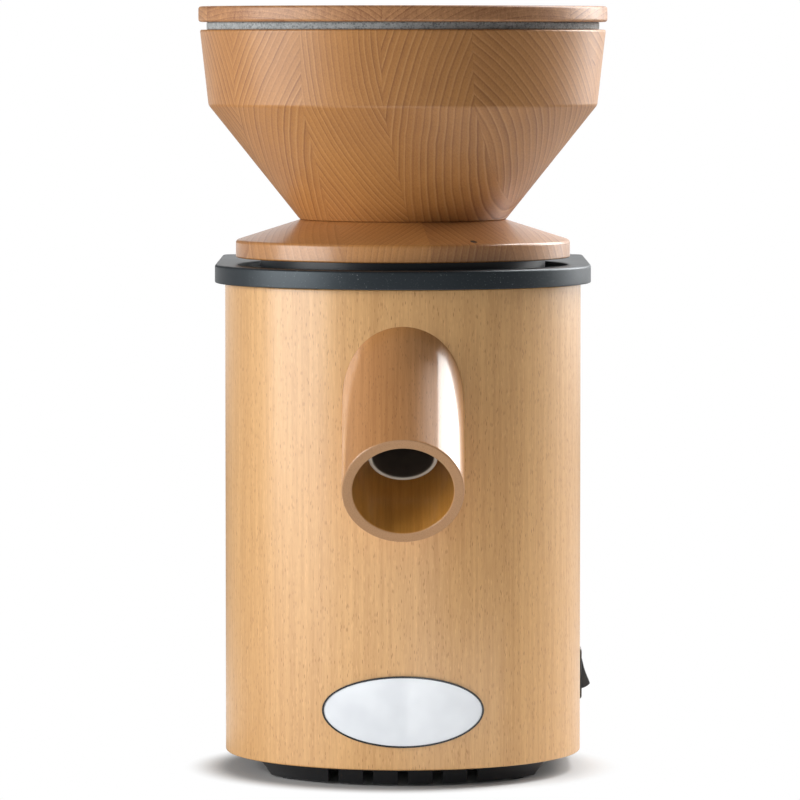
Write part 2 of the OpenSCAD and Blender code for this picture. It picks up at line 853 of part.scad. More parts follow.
module stator_slots(grow, h) {
  around(slot_count, 0)
    translate([stator_bore_r + slot_lip - grow, -slot_w / 2 - grow, 0])
      cube([slot_depth + 2 * grow, slot_w + 2 * grow, h]);
}

module stator_core() color("dimgray") {
  difference() {
    translate([0, 0, stator_z]) tube(stator_r, stator_bore_r, stator_h);
    translate([0, 0, stator_z - cut]) stator_slots(touch, stator_h + 2 * cut);
  }
}

module stator_windings() color("chocolate") {
  inner = stator_bore_r + 2;
  outer = stator_bore_r + slot_depth + 3;
  translate([0, 0, stator_z - touch]) stator_slots(0, stator_h + 2 * touch);
  for (z = [stator_z - coil_h, stator_top])
    translate([0, 0, z]) coil_end(inner, outer);
}

// Bound end of the windings, a ring with bevelled edges
module coil_end(inner, outer) {
  bevel = 3;
  rotate_extrude() polygon([
    [inner + bevel, 0], [outer - bevel, 0], [outer, bevel], [outer, coil_h - bevel],
    [outer - bevel, coil_h], [inner + bevel, coil_h], [inner, coil_h - bevel], [inner, bevel]
  ]);
}

module bearing_outer_rings() color("silver") {
  bearing_places() tube(bearing_r, bearing_r - race_t, bearing_w);
}

module bearing_inner_rings() color("silver") {
  bearing_places() tube(shaft_r + race_t, shaft_r, bearing_w);
}

module bearing_balls() color("white") {
  bearing_places() around(ball_count, ball_ring_r) translate([0, 0, bearing_w / 2]) sphere(r = ball_r);
}

module motor_shaft() color("silver") {
  translate([0, 0, shaft_z]) cylinder(r = shaft_r, h = nut_z - shaft_z);
  translate([0, 0, nut_z]) cylinder(r = thread_end_r, h = shaft_top - nut_z);
}

module rotor_core() color("gray") {
  translate([0, 0, stator_z]) tube(rotor_r, shaft_r, stator_h);
}

module rotor_end_rings() color("lightgray") {
  ring_h = 8;
  ring_in = 22;
  for (z = [stator_z - ring_h, stator_top])
    translate([0, 0, z]) tube(rotor_r - 0.6, ring_in, ring_h);
}

module cooling_fan() color("black") {
  disc_t = 2;
  fan_hub_r = shaft_r + 5;
  translate([0, 0, fan_z]) {
    tube(fan_hub_r, shaft_r, fan_h);
    translate([0, 0, fan_h - disc_t]) tube(fan_r, shaft_r, disc_t);
    around(fan_blades, fan_hub_r - 1) translate([0, -1, 0]) cube([fan_r - fan_hub_r, 2, fan_h - 1]);
  }
}

// ---------------------------------------------------------------- stones

module lower_stone_hub() color("lightgray") {
  difference() {
    union() {
      translate([0, 0, hub_z]) cylinder(r = hub_r, h = hub_t);
      translate([0, 0, hub_z]) cylinder(r = lower_bore_r - touch, h = nut_z - hub_z);
      for (turn = [0, 120, 240])
        rotate(turn) {
          translate([hub_r - 4, -blade_t / 2, hub_z]) cube([blade_r - hub_r + 4, blade_t, hub_t]);
          translate([hub_r, -blade_t / 2, hub_z]) cube([blade_r - hub_r, blade_t, blade_h]);
        }
    }
    translate([0, 0, hub_z - cut]) cylinder(r = shaft_r, h = hub_t + hub_boss_h + 2 * cut);
  }
}

// Straight furrows that run past the centre, as on a dressed millstone
module furrow_cuts(z) {
  for (i = [0 : furrows - 1])
    rotate(i * 360 / furrows) translate([eye_r + 4, eye_r / 2, z])
      cube([stone_r, furrow_w, furrow_depth + cut]);
}

module lower_stone() color("beige") {
  difference() {
    translate([0, 0, lower_stone_z]) tube(stone_r, lower_bore_r, stone_t);
    furrow_cuts(lower_stone_z + stone_t - furrow_depth);
  }
}

module upper_stone() color("beige") {
  dish_h = 4;
  difference() {
    translate([0, 0, upper_stone_z]) tube(stone_r, eye_r, stone_t);
    translate([0, 0, upper_stone_z - cut])
      cylinder(r1 = eye_r + dish_h + cut, r2 = eye_r - cut, h = dish_h + 2 * cut);
    mirror([0, 1, 0]) furrow_cuts(upper_stone_z - cut);
    stone_screw_places() translate([0, 0, -stone_screw_len - touch])
      cylinder(r = m4_r + touch, h = stone_screw_len);
  }
}

module stone_screw_places() {
  around(3, (stone_r + eye_r) / 2, 90) translate([0, 0, carrier_top]) children();
}

module stone_screws() color("silver") {
  stone_screw_places() countersunk(stone_screw_len, m4_r, m4_head_r);
}

module upper_stone_carrier() color("gainsboro") {
  difference() {
    union() {
      translate([0, 0, carrier_z]) tube(carrier_r, eye_r, carrier_t);
      intersection() {
        translate([0, 0, carrier_z - key_drop]) tube(carrier_r, lug_r, key_drop + cut);
        for (turn = [-90, 30, 150])
          rotate(turn) translate([0, -lug_w / 2, carrier_z - key_drop])
            cube([carrier_r, lug_w, key_drop + cut]);
      }
    }
    for (turn = [-90, 30, 150])
      rotate(turn) translate([key_r, -key_w / 2 - slack, carrier_z - key_drop - cut])
        cube([carrier_r, key_w + 2 * slack, key_drop + carrier_t + 2 * cut]);
    stone_screw_places() countersunk_hole(stone_screw_len, m4_r, m4_head_r);
  }
}

module hub_nut() color("silver") {
  translate([0, 0, nut_z]) difference() {
    cylinder(r = nut_r, h = nut_h, $fn = 6);
    translate([0, 0, -cut]) cylinder(r = thread_end_r, h = nut_h + 2 * cut);
  }
}

// ---------------------------------------------------------------- hopper

module hopper_bowl() color("tan") {
  inner_kink_r = kink_r - bowl_wall;
  difference() {
    rotate_extrude() polygon([
      [throat_r, neck_z], [neck_r - bowl_bevel, neck_z], [neck_r, neck_z + bowl_bevel],
      [kink_r, kink_z], [rim_r, rim_z - bowl_bevel], [rim_r - bowl_bevel, rim_z],
      [mouth_r, rim_z], [inner_kink_r, kink_z], [throat_r, throat_z]
    ]);
    hopper_screw_places() translate([0, 0, -touch])
      cylinder(r = m4_r + touch, h = hopper_screw_len + 2 * touch);
  }
}

// The screws point upwards, from the flange's underside into the bowl
module hopper_screw_places() {
  around(3, (neck_r + throat_r) / 2, hopper_screw_turn) translate([0, 0, flange_z]) children();
}

module hopper_base() color("tan") {
  difference() {
    rotate_extrude() polygon([
      [throat_r, flange_z], [flange_r - bowl_bevel, flange_z], [flange_r, flange_z + bowl_bevel],
      [flange_r, flange_rim_z - 0.3], [flange_r - 1.3, flange_rim_z + 0.8],
      [neck_r - bowl_bevel, neck_z], [throat_r, neck_z]
    ]);
    hopper_screw_places() rotate([180, 0, 0]) countersunk_hole(hopper_screw_len, m4_r, m4_head_r);
    ring_screw_places() translate([0, 0, -touch]) cylinder(r = m4_r + touch, h = ring_screw_len);
    at_setting_dot() translate([0, 0, -dot_t]) cylinder(r = dot_r + touch, h = dot_t + cut);
  }
}

module hopper_screws() color("silver") {
  hopper_screw_places() rotate([180, 0, 0]) countersunk(hopper_screw_len, m4_r, m4_head_r);
}

// A ring that hangs below the flange and turns in the plate's threaded collar
module adjusting_ring() color("#2b3036") {
  difference() {
    rotate_extrude() polygon([
      [throat_r, ring_disc_z], [ring_skirt_r, ring_disc_z], [ring_skirt_r, ring_z],
      [thread_r, ring_z], [thread_r, flange_z], [throat_r, flange_z]
    ]);
    ring_screw_places() translate([0, 0, -ring_disc_t - cut])
      cylinder(r = m4_r + touch, h = ring_disc_t + 2 * cut);
    feed_screw_holes();
  }
}

module ring_screw_places() {
  around(4, (ring_skirt_r + neck_r) / 2 - 4, 0) translate([0, 0, flange_z]) children();
}

module ring_screws() color("silver") {
  ring_screw_places() translate([0, 0, -ring_disc_t]) rotate([180, 0, 0])
    pan_screw(ring_screw_len, m4_r, m4_head_r, 2.5);
}

module feed_screw_holes() {
  pilot_r = 1.2;
  around(3, feed_screw_r, 90) translate([0, 0, ring_disc_z - feed_flange_t - cut])
    cylinder(r = pilot_r, h = feed_flange_t + cut + 3);
}

module feed_tube() color("gainsboro") {
  difference() {
    union() {
      translate([0, 0, feed_z]) tube(feed_r, feed_bore_r, feed_h);
      translate([0, 0, ring_disc_z - feed_flange_t]) tube(feed_flange_r, feed_bore_r, feed_flange_t);
    }
    feed_screw_holes();
  }
}

// A ring with crossed bars that keeps fingers away from the stones
module finger_guard() color("gainsboro") {
  guard_r = feed_bore_r - touch;
  translate([0, 0, throat_z - guard_h - 1]) {
    tube(guard_r, guard_r - 1.5, guard_h);
    for (turn = [45, 135])
      rotate(turn) translate([-guard_r + 1, -guard_bar_w / 2, 0])
        cube([2 * guard_r - 2, guard_bar_w, guard_h]);
  }
}

// On the flange's slope near its rim, right of the front
module at_setting_dot() {
  slope_r = flange_r - 1.3 - (neck_r - bowl_bevel);
  slope_z = flange_rise - 0.8;
  rotate(dot_turn - 90)
    translate([flange_r - 1.3 - dot_inward, 0, flange_rim_z + 0.8 + dot_inward * slope_z / slope_r])
      rotate([0, atan2(slope_z, slope_r), 0]) children();
}

module setting_dot() color("black") {
  at_setting_dot() translate([0, 0, -dot_t]) cylinder(r = dot_r, h = dot_t);
}

// ---------------------------------------------------------------- lid

module lid_disc() color("sienna") {
  steps = 4;
  upper_edge = [
    for (i = [0 : steps])
      [lid_r - lid_round + lid_round * cos(i * 90 / steps),
       lid_top - lid_round + lid_round * sin(i * 90 / steps)]
  ];
  lower_edge = [
    for (i = [steps : -1 : 0])
      [lid_r - lid_round + lid_round * cos(i * 90 / steps),
       lid_z + lid_round - lid_round * sin(i * 90 / steps)]
  ];
  rotate_extrude() polygon(concat(
    [[0, rim_z - boss_depth], [boss_r, rim_z - boss_depth], [boss_r, lid_z]],
    lower_edge, upper_edge, [[0, lid_top]]
  ));
}

module lid_felt_ring() color("gray") {
  translate([0, 0, rim_z]) tube(felt_inner_r + felt_w, felt_inner_r, felt_t);
}

// ---------------------------------------------------------------- base

// Solid under the body that narrows downwards: a bowed front, flat sides and a straight back.
// It is drawn in by inset all round and reaches below the skirt's lower edge by the given length.
module base_taper(inset, below) {
  h = skirt_h + below;
  flare = h * (skirt_top_w - skirt_low_w) / skirt_h;
  top_w = skirt_top_w - inset;
  top_front = skirt_top_front - inset;
  translate([0, 0, skirt_gap - below]) intersection() {
    union() {
      cylinder(r1 = top_front - flare, r2 = top_front, h = h);
      translate([-top_w, 0, 0]) cube([2 * top_w, skirt_back - inset, h]);
    }
    rotate([90, 0, 0]) linear_extrude(4 * skirt_front, center = true)
      polygon([[flare - top_w, 0], [top_w - flare, 0], [top_w, h], [-top_w, h]]);
  }
}

module foot_places() {
  for (side = [-1, 1])
    for (y = [foot_front_y, foot_back_y])
      translate([side * foot_x, y, 0]) children();
}

module base_tray() color("#1c1d20") {
  difference() {
    union() {
      translate([0, 0, body_base_z]) linear_extrude(tray_top - body_base_z)
        cavity_outline(cavity_r + rebate_w - touch, panel_front - touch);
      difference() {
        base_taper(0, 0);
        base_taper(skirt_t, cut);
        air_slots();
      }
      foot_places() translate([0, 0, foot_h]) cylinder(r = foot_r + 1, h = body_base_z - foot_h + cut);
    }
    foot_places() translate([0, 0, foot_h - cut])
      cylinder(r = foot_stem_r + touch, h = foot_stem_h + cut);
    base_screw_places() countersunk_hole(base_screw_len, wood_r, wood_head_r);
    air_holes();
  }
}

// Two rings of holes under the motor's fan
module air_holes() {
  translate([0, 0, body_base_z - cut]) {
    around(10, air_ring_r) cylinder(r = air_hole_r, h = rebate_h + 2 * cut);
    around(5, inner_air_ring_r) cylinder(r = inner_air_hole_r, h = rebate_h + 2 * cut);
  }
}

// Slots through the skirt, in the front and along both sides, where cooling air comes in
module air_slots() {
  for (i = [-2 : 2])
    translate([i * air_slot_pitch - air_slot_w / 2, -skirt_top_front - cut, skirt_gap - cut])
      cube([air_slot_w, skirt_top_front / 2, skirt_h]);
  for (i = [-1 : 3])
    translate([-skirt_top_w - cut, i * air_slot_pitch - air_slot_w / 2, skirt_gap - cut])
      cube([2 * (skirt_top_w + cut), air_slot_w, skirt_h]);
}

module base_screws() color("silver") {
  base_screw_places() countersunk(base_screw_len, wood_r, wood_head_r);
}

module rubber_feet() color("#101010") {
  foot_places() {
    cylinder(r = foot_r, h = foot_h);
    cylinder(r = foot_stem_r, h = foot_h + foot_stem_h);
  }
}

// ---------------------------------------------------------------- electrics

module run_capacitor() color("lightgray") {
  translate([capacitor_x, capacitor_y, tray_top + clamp_t + touch]) {
    cylinder(r = capacitor_r, h = capacitor_h);
    for (side = [-1, 1])
      translate([side * tab_w - tab_w / 2, -tab_t / 2, capacitor_h - cut])
        cube([tab_w, tab_t, tab_h + cut]);
  }
}

module capacitor_clamp() color("black") {
  translate([capacitor_x, capacitor_y, tray_top]) {
    tube(capacitor_r + touch + clamp_t, capacitor_r + touch, clamp_h);
    cylinder(r = capacitor_r + clamp_t, h = clamp_t);
    translate([-capacitor_r - 12, -7, 0]) difference() {
      cube([13, 14, clamp_t]);
      translate([5, 7, -cut]) cylinder(r = 2.2, h = clamp_t + 2 * cut);
    }
  }
}

module terminal_block() color("ivory") {
  ways = 3;
  pitch = block_size[0] / ways;
  translate([block_x, panel_front + touch - block_size[1], body_base_z + block_z - block_size[2] / 2])
    difference() {
      cube(block_size);
      for (i = [0 : ways - 1])
        translate([(i + 0.5) * pitch, 0, 0]) {
          for (z = [4.5, block_size[2] - 4.5])
            translate([0, -cut, z]) rotate([-90, 0, 0]) cylinder(r = 2.2, h = 7 + cut);
          translate([0, 6, -cut]) cylinder(r = 1.8, h = block_size[2] + 2 * cut);
        }
    }
}

module cable_gland() color("black") {
  dome_y = body_back + gland_hex_t;
  dome_l = gland_reach - dome_y;
  inside = gland_nut_t + 3;
  translate([gland_x, panel_front, gland_level]) rotate([-90, 0, 0]) difference() {
    union() {
      translate([0, 0, -inside]) cylinder(r = gland_thread_r, h = inside + wall_t + cut);
      translate([0, 0, wall_t]) cylinder(r = gland_hex_r, h = gland_hex_t, $fn = 6);
      translate([0, 0, wall_t + gland_hex_t]) cylinder(r = gland_hex_r - 1.6, h = dome_l - 4);
      translate([0, 0, wall_t + gland_hex_t + dome_l - 4])
        cylinder(r1 = gland_hex_r - 1.6, r2 = gland_bore_r + 2, h = 4);
    }
    translate([0, 0, -inside - cut])
      cylinder(r = gland_bore_r, h = inside + wall_t + gland_hex_t + dome_l + 2 * cut);
  }
}

module gland_nut() color("black") {
  translate([gland_x, panel_front, gland_level]) rotate([90, 0, 0]) difference() {
    cylinder(r = gland_hex_r, h = gland_nut_t, $fn = 6);
    translate([0, 0, -cut]) cylinder(r = gland_thread_r + touch, h = gland_nut_t + 2 * cut);
  }
}

// Bezel and body of the switch, in the frame of the rocker's pin
module switch_housing() color("#141416") {
  cavity = rocker_r + rocker_clear;
  inner_w = rocker_w + 2 * rocker_clear;
  face = bezel_t - pivot_out;
  translate([pivot_x, switch_y, switch_level]) difference() {
    union() {
      translate([-pivot_out, 0, 0]) bezel();
      translate([-pivot_out - switch_body_depth, -switch_body_w / 2, -switch_body_h / 2])
        cube([switch_body_depth + touch, switch_body_w, switch_body_h]);
    }
    rotate([90, 0, 0]) cylinder(r = cavity, h = inner_w, center = true);
    translate([0, -inner_w / 2, -cavity]) cube([face + cut, inner_w, 2 * cavity]);
    rotate([90, 0, 0])
      cylinder(r = pin_r + pin_play, h = inner_w + 2 * pin_len, center = true);
  }
}

// The bezel's edges slope on all four sides
module bezel() {
  intersection() {
    rotate([90, 0, 0]) linear_extrude(bezel_w, center = true) bezel_section(bezel_h / 2);
    linear_extrude(bezel_h, center = true) bezel_section(bezel_w / 2);
  }
}

module bezel_section(half) {
  polygon([
    [0, -half], [bezel_t / 4, -half], [bezel_t, bezel_bevel - half],
    [bezel_t, half - bezel_bevel], [bezel_t / 4, half], [0, half]
  ]);
}

module switch_terminals() color("goldenrod") {
  tab = [9, tab_t, tab_w];
  for (y = [-4.5, 4.5], z = [-6, 6])
    translate([body_r - switch_body_depth, switch_y + y, switch_level + z] - [tab[0], tab_t / 2, tab_w / 2])
      cube(tab);
}

// The rocker lies with its lower half out, which is off
module switch_rocker() color("#0d0d0f") {
  reach = 2 * rocker_r;
  rise = reach * tan(rocker_kink);
  translate([pivot_x, switch_y, switch_level]) rotate([0, -rocker_tilt, 0]) {
    difference() {
      rotate([90, 0, 0]) cylinder(r = rocker_r, h = rocker_w, center = true);
      rotate([90, 0, 0]) linear_extrude(rocker_w + 2 * cut, center = true) polygon([
        [rocker_valley, 0], [rocker_valley + rise, -reach], [2 * reach, -reach],
        [2 * reach, reach], [rocker_valley + rise, reach]
      ]);
    }
    rotate([90, 0, 0])
      cylinder(r = pin_r, h = rocker_w + 2 * (rocker_clear + pin_len - slack), center = true);
  }
}

// ---------------------------------------------------------------- badge

function oval(a, b, count = 72) = [
  for (i = [0 : count - 1]) [a * cos(i * 360 / count), b * sin(i * 360 / count)]
];

// A thin shell on the round front, cut to the outline of the children
module on_front(thickness) {
  intersection() {
    translate([0, 0, body_base_z + touch]) tube(body_r + thickness, body_r + touch / 2, 2 * badge_z);
    translate([0, 0, body_base_z + badge_z]) rotate([90, 0, 0])
      linear_extrude(body_r + thickness + cut) children();
  }
}

module badge_plate() color("whitesmoke") {
  on_front(badge_t) polygon(oval(badge_w / 2 - badge_rim_w, badge_h / 2 - badge_rim_w));
}

module badge_rim() color("black") {
  on_front(badge_t + 0.3) difference() {
    polygon(oval(badge_w / 2, badge_h / 2));
    polygon(oval(badge_w / 2 - badge_rim_w, badge_h / 2 - badge_rim_w));
  }
}

// ---------------------------------------------------------------- assembly

housing_shell();
back_panel();
back_panel_screws();
top_plate();
plate_screws();
grinding_chamber();
chamber_screws();
backlash_springs();
shaft_seal();
spout_tube();
outlet_liner();
motor_upper_shield();
motor_lower_shield();
motor_mount_screws();
motor_tie_bolts();
stator_core();
stator_windings();
bearing_outer_rings();
run_capacitor();
capacitor_clamp();
terminal_block();
cable_gland();
gland_nut();
switch_housing();
switch_terminals();
badge_plate();
badge_rim();
base_tray();
base_screws();
rubber_feet();
motor_shaft();
rotor_core();
rotor_end_rings();
cooling_fan();
bearing_inner_rings();
bearing_balls();
lower_stone_hub();
lower_stone();
hub_nut();
upper_stone_carrier();
upper_stone();
stone_screws();
hopper_bowl();
hopper_base();
adjusting_ring();
feed_tube();
finger_guard();
setting_dot();
ring_screws();
hopper_screws();
lid_disc();
lid_felt_ring();
switch_rocker();
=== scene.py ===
"""Electric grain mill: a beech body with a slanted spout, a slate-grey top plate and a turned beech hopper.

Each operator builds one piece, or a group of like pieces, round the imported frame.
Outlines are drawn in millimetres; a shape is brought to metres when it becomes a piece.
"""

import math

import bmesh
import bpy
from bmesh.types import BMEdge, BMFace, BMVert
from bpy.props import FloatProperty, FloatVectorProperty, IntProperty, PointerProperty
from mathutils import Matrix, Vector


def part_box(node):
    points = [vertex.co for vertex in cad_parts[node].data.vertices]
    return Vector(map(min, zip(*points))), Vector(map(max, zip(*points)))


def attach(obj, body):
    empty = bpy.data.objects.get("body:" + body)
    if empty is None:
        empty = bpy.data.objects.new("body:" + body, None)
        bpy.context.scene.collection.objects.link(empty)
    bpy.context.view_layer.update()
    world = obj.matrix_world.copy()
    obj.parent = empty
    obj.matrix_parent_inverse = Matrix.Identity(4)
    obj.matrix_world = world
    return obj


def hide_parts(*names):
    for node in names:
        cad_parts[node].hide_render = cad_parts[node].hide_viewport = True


bl_info = {
    "name": "Grain mill",
    "version": (1, 0, 0),
    "blender": (4, 5, 0),
    "location": "3D View > Sidebar > Mill",
    "description": "Builds the pieces and finishes of an electric stone mill round its frame",
    "category": "Object",
}

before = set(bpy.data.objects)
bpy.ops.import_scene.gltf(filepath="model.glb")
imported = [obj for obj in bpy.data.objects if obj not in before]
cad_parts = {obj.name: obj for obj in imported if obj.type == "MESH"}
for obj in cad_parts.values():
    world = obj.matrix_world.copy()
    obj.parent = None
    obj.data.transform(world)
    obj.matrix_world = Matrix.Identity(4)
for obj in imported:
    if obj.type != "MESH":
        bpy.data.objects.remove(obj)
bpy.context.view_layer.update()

MM = 0.001
FULL_TURN = 2 * math.pi


def node_box(node):
    """Lowest and highest corner of a node of the frame, in millimetres"""
    low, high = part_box(node)
    return low / MM, high / MM


# Main levels and radii of the frame, in millimetres
BODY_LOW, BODY_HIGH = node_box("housing_shell")
PLATE_LOW, PLATE_HIGH = node_box("top_plate")
FLANGE_LOW, FLANGE_HIGH = node_box("hopper_base")
BOWL_LOW, BOWL_HIGH = node_box("hopper_bowl")
LID_LOW, LID_HIGH = node_box("lid_disc")
FELT_LOW, FELT_HIGH = node_box("lid_felt_ring")
BODY_RADIUS = BODY_HIGH.x
WALL = 11.0
CAVITY_RADIUS = BODY_RADIUS - WALL
BODY_BACK = BODY_HIGH.y
PANEL_FRONT = BODY_BACK - WALL

# The spout leaves the body at SPOUT_ROOT and runs forwards and down
SPOUT_ROOT = Vector((0, -BODY_RADIUS, BODY_HIGH.z - 59.7))
SPOUT_TILT = math.radians(45)
SPOUT_CUT = math.radians(31.5)
SPOUT_LENGTH = 50.13
SPOUT_RADIUS = 29.5
SPOUT_BORE = 24.3
SPOUT_FRAME = Matrix.Translation(SPOUT_ROOT) @ Matrix.Rotation(math.pi / 2 + SPOUT_TILT, 4, "X")

KEY_LOW, KEY_HIGH = node_box("switch_housing")
RIM_LOW, RIM_HIGH = node_box("badge_rim")
SWITCH_PIN = Vector((BODY_RADIUS + 1, (KEY_LOW.y + KEY_HIGH.y) / 2, (KEY_LOW.z + KEY_HIGH.z) / 2))
BADGE_LEVEL = (RIM_LOW.z + RIM_HIGH.z) / 2
BADGE_SIZE = Vector((79, 35))
DOT_RADIUS = 1.7

# Pieces that fit each other, in millimetres
FIT = 0.05
FEED_BORE = 16.1
COLLAR_BORE = 71.05
RECESS_RADIUS = 82.0
PIPE_BORE, PIPE_RADIUS, PIPE_COLLAR = 14.5, 16.8, 24.0
NECK_RADIUS = 50.9
FLANGE_EDGE = 8.6
FELT_BORE = 89.45
SKIRT_RADIUS, SKIRT_SIDE, SKIRT_BACK, SKIRT_DEPTH = 84.0, 71.0, 99.95, 184.0
SKIRT_FLARE, SKIRT_HEIGHT = 5.0, 8.2
SKIRT_WALL = 2.6
FOOT_RADIUS = 9.0
KEY_RADIUS, KEY_HALF = 7.9, 6.5
BEZEL_FACE, BEZEL_EDGE = 1.6, 1.4
PANEL_BOARD = 38.8


def paint(code, alpha=1.0):
    """Scene-linear colour of a hex code"""
    values = [int(code[i : i + 2], 16) / 255 for i in (0, 2, 4)]
    return (*(v / 12.92 if v <= 0.04045 else ((v + 0.055) / 1.055) ** 2.4 for v in values), alpha)


def colour_property(name, description, code):
    return FloatVectorProperty(
        name=name, description=description, subtype="COLOR", size=4, min=0, max=1, default=paint(code)
    )


def length_property(name, description, default, low, high):
    return FloatProperty(
        name=name, description=description, default=default, min=low, max=high, unit="LENGTH", precision=4
    )


class MillShape(bpy.types.PropertyGroup):
    """Sizes of the mill's edges and small details"""

    wood_edge: length_property(
        "Wooden edges", "Rounding of the body's and the spout's edges", 0.0008, 0.0003, 0.002
    )
    plate_edge: length_property(
        "Plate edge", "Rounding of the top plate's upper edge", 0.0013, 0.0003, 0.003
    )
    lid_edge: length_property("Lid edge", "Rounding of the lid's edge", 0.0014, 0.0004, 0.003)
    bowl_edge: length_property("Bowl edge", "Rounding of the hopper's rim and foot", 0.001, 0.0003, 0.003)
    board_width: length_property(
        "Hopper boards", "Width of the boards that the hopper is glued from", 0.041, 0.02, 0.08
    )
    ring_width: length_property(
        "Growth rings",
        "Distance from one growth ring to the next in the hopper's boards",
        0.0032,
        0.001,
        0.01,
    )
    round_steps: IntProperty(
        name="Steps of a turn", description="Segments of every turned piece", default=192, min=48, max=360
    )


class MillFinish(bpy.types.PropertyGroup):
    """Colours of the mill's materials"""

    body_beech: colour_property("Body beech", "Beech of the body", "e0b074")
    hopper_beech: colour_property("Hopper beech", "Beech of the hopper and its flange", "c4894a")
    lid_beech: colour_property("Lid beech", "Steamed beech of the lid", "d29c68")
    spout_beech: colour_property("Spout beech", "Beech of the spout", "cc935a")
    ring_line: colour_property("Growth line", "Dark line of a growth ring", "84502a")
    slate: colour_property("Slate plastic", "Plastic of the top plate", "1b2024")
    gloss_black: colour_property("Black base", "Glossy plastic of the base", "121316")
    felt: colour_property("Felt", "Felt ring of the lid", "b6bcbd")
    enamel: colour_property("Badge", "Enamel of the badge", "e8edf2")
    pipe: colour_property("Pale plastic", "Plastic of the flour pipe", "bab3a7")


# ---------------------------------------------------------------- shader maths


def _maths(operation, turned=False):
    def run(self, other):
        terms = (other, self) if turned else (self, other)
        return self.recipe.maths(operation, *terms)

    return run


class Value:
    """A socket of a material's nodes, with arithmetic on it"""

    def __init__(self, recipe, socket):
        self.recipe = recipe
        self.socket = socket

    def output(self, key):
        """Another output of the same node"""
        return Value(self.recipe, self.socket.node.outputs[key])

    __add__ = __radd__ = _maths("ADD")
    __mul__ = __rmul__ = _maths("MULTIPLY")
    __sub__ = _maths("SUBTRACT")
    __rsub__ = _maths("SUBTRACT", turned=True)
    __truediv__ = _maths("DIVIDE")


class Recipe:
    """The node tree of a new material or world"""

    def __init__(self, name, kept_in="materials"):
        self.owner = getattr(bpy.data, kept_in).new(name)
        self.owner.use_nodes = True
        self.tree = self.owner.node_tree
        self.tree.nodes.clear()

    def node(self, kind, settings=None, sockets=None, output=0):
        """Add a node: its settings are made first, then its sockets get their values or links"""
        added = self.tree.nodes.new("ShaderNode" + kind)
        for key, value in (settings or {}).items():
            if key == "stops":
                self._set_stops(added.color_ramp, value)
            elif key == "blending":
                added.color_ramp.interpolation = value
            else:
                setattr(added, key, value)
        for key, value in (sockets or {}).items():
            if isinstance(value, Value):
                self.tree.links.new(value.socket, added.inputs[key])
            else:
                added.inputs[key].default_value = value
        return Value(self, added.outputs[output]) if added.outputs else None

    @staticmethod
    def _set_stops(ramp, stops):
        while len(ramp.elements) < len(stops):
            ramp.elements.new(0.5)
        for element, (place, colour) in zip(ramp.elements, stops):
            element.position = place
            element.color = colour

    def maths(self, operation, *terms):
        return self.node("Math", {"operation": operation}, dict(enumerate(terms)))

    def vector(self, operation, *terms):
        output = 1 if operation in {"LENGTH", "DISTANCE", "DOT_PRODUCT"} else 0
        return self.node("VectorMath", {"operation": operation}, dict(enumerate(terms)), output)

    def scaled(self, point, *factors):
        """A point with its three coordinates multiplied"""
        return self.vector("MULTIPLY", point, factors if len(factors) == 3 else factors * 3)

    def point(self, x, y, z):
        return self.node("CombineXYZ", sockets={0: x, 1: y, 2: z})

    def parts(self, point):
        added = self.node("SeparateXYZ", sockets={0: point})
        return [added.output(i) for i in range(3)]

    def place(self):
        """Place on the piece, in millimetres"""
        seen = self.node("TexCoord", output=3)
        return self.scaled(seen, 1 / MM)

    def turned(self, point, angles=(0, 0, 0), shift=(0, 0, 0)):
        """A point shifted and then turned"""
        moved = self.vector("ADD", point, shift)
        return self.node("Mapping", {"vector_type": "POINT"}, {0: moved, 2: angles})

    def ramp(self, value, low, high, start=0.0):
        """Smooth climb from the start to 1 while the value goes from low to high"""
        sockets = {0: value, 1: low, 2: high, 3: start, 4: 1.0}
        return self.node("MapRange", {"interpolation_type": "SMOOTHSTEP"}, sockets)

    def noise(self, point, detail=2.0, roughness=0.5, output=0):
        return self.node("TexNoise", sockets={0: point, 2: 1.0, 3: detail, 4: roughness}, output=output)

    def cells(self, point, output=0):
        return self.node("TexVoronoi", sockets={0: point, 2: 1.0}, output=output)

    def chance(self, value):
        """A steady random number from 0 to 1 for each value"""
        return self.node("TexWhiteNoise", {"noise_dimensions": "1D"}, {1: value})

    def mix(self, share, a, b, blending="MIX"):
        return self.node("Mix", {"data_type": "RGBA", "blend_type": blending}, {0: share, 6: a, 7: b}, 2)

    def bump(self, height, distance, strength=1.0):
        return self.node("Bump", sockets={0: strength, 1: distance, 3: height})

    def surface(self, colour, roughness, normal=None, **fixed):
        """Principled surface; a fixed socket is named by its label with underscores"""
        sockets = {"Base Color": colour, "Roughness": roughness}
        if normal is not None:
            sockets["Normal"] = normal
        sockets.update({key.replace("_", " "): value for key, value in fixed.items()})
        return self.finish(self.node("BsdfPrincipled", sockets=sockets))

    def finish(self, shader, kind="OutputMaterial"):
        self.node(kind, sockets={0: shader})
        return self.owner


# ---------------------------------------------------------------- finishes


def beech_marks(m, grain):
    """Streaks, tone and ray flecks of beech. The point's Y runs along the grain, in millimetres."""
    fine = m.noise(m.scaled(grain, 1 / 0.42, 1 / 7, 1 / 0.9), 2.0, 0.6)
    broad = m.noise(m.scaled(grain, 1 / 1.9, 1 / 90, 1 / 5), 3.0, 0.6)
    tone = m.noise(m.scaled(grain, 1 / 26, 1 / 420, 1 / 38), 1.0, 0.5)
    flecks = dashes(m, grain, 0.62, 3.4, 0.5)
    light = dashes(m, m.vector("ADD", grain, (31.7, 12.3, 5.1)), 0.8, 4.6, 0.4)
    return fine, broad, tone, flecks, light


def tinted(m, colour, *factors):
    """A colour with its red, green and blue multiplied"""
    return m.mix(1.0, colour, (*factors, 1), "MULTIPLY")


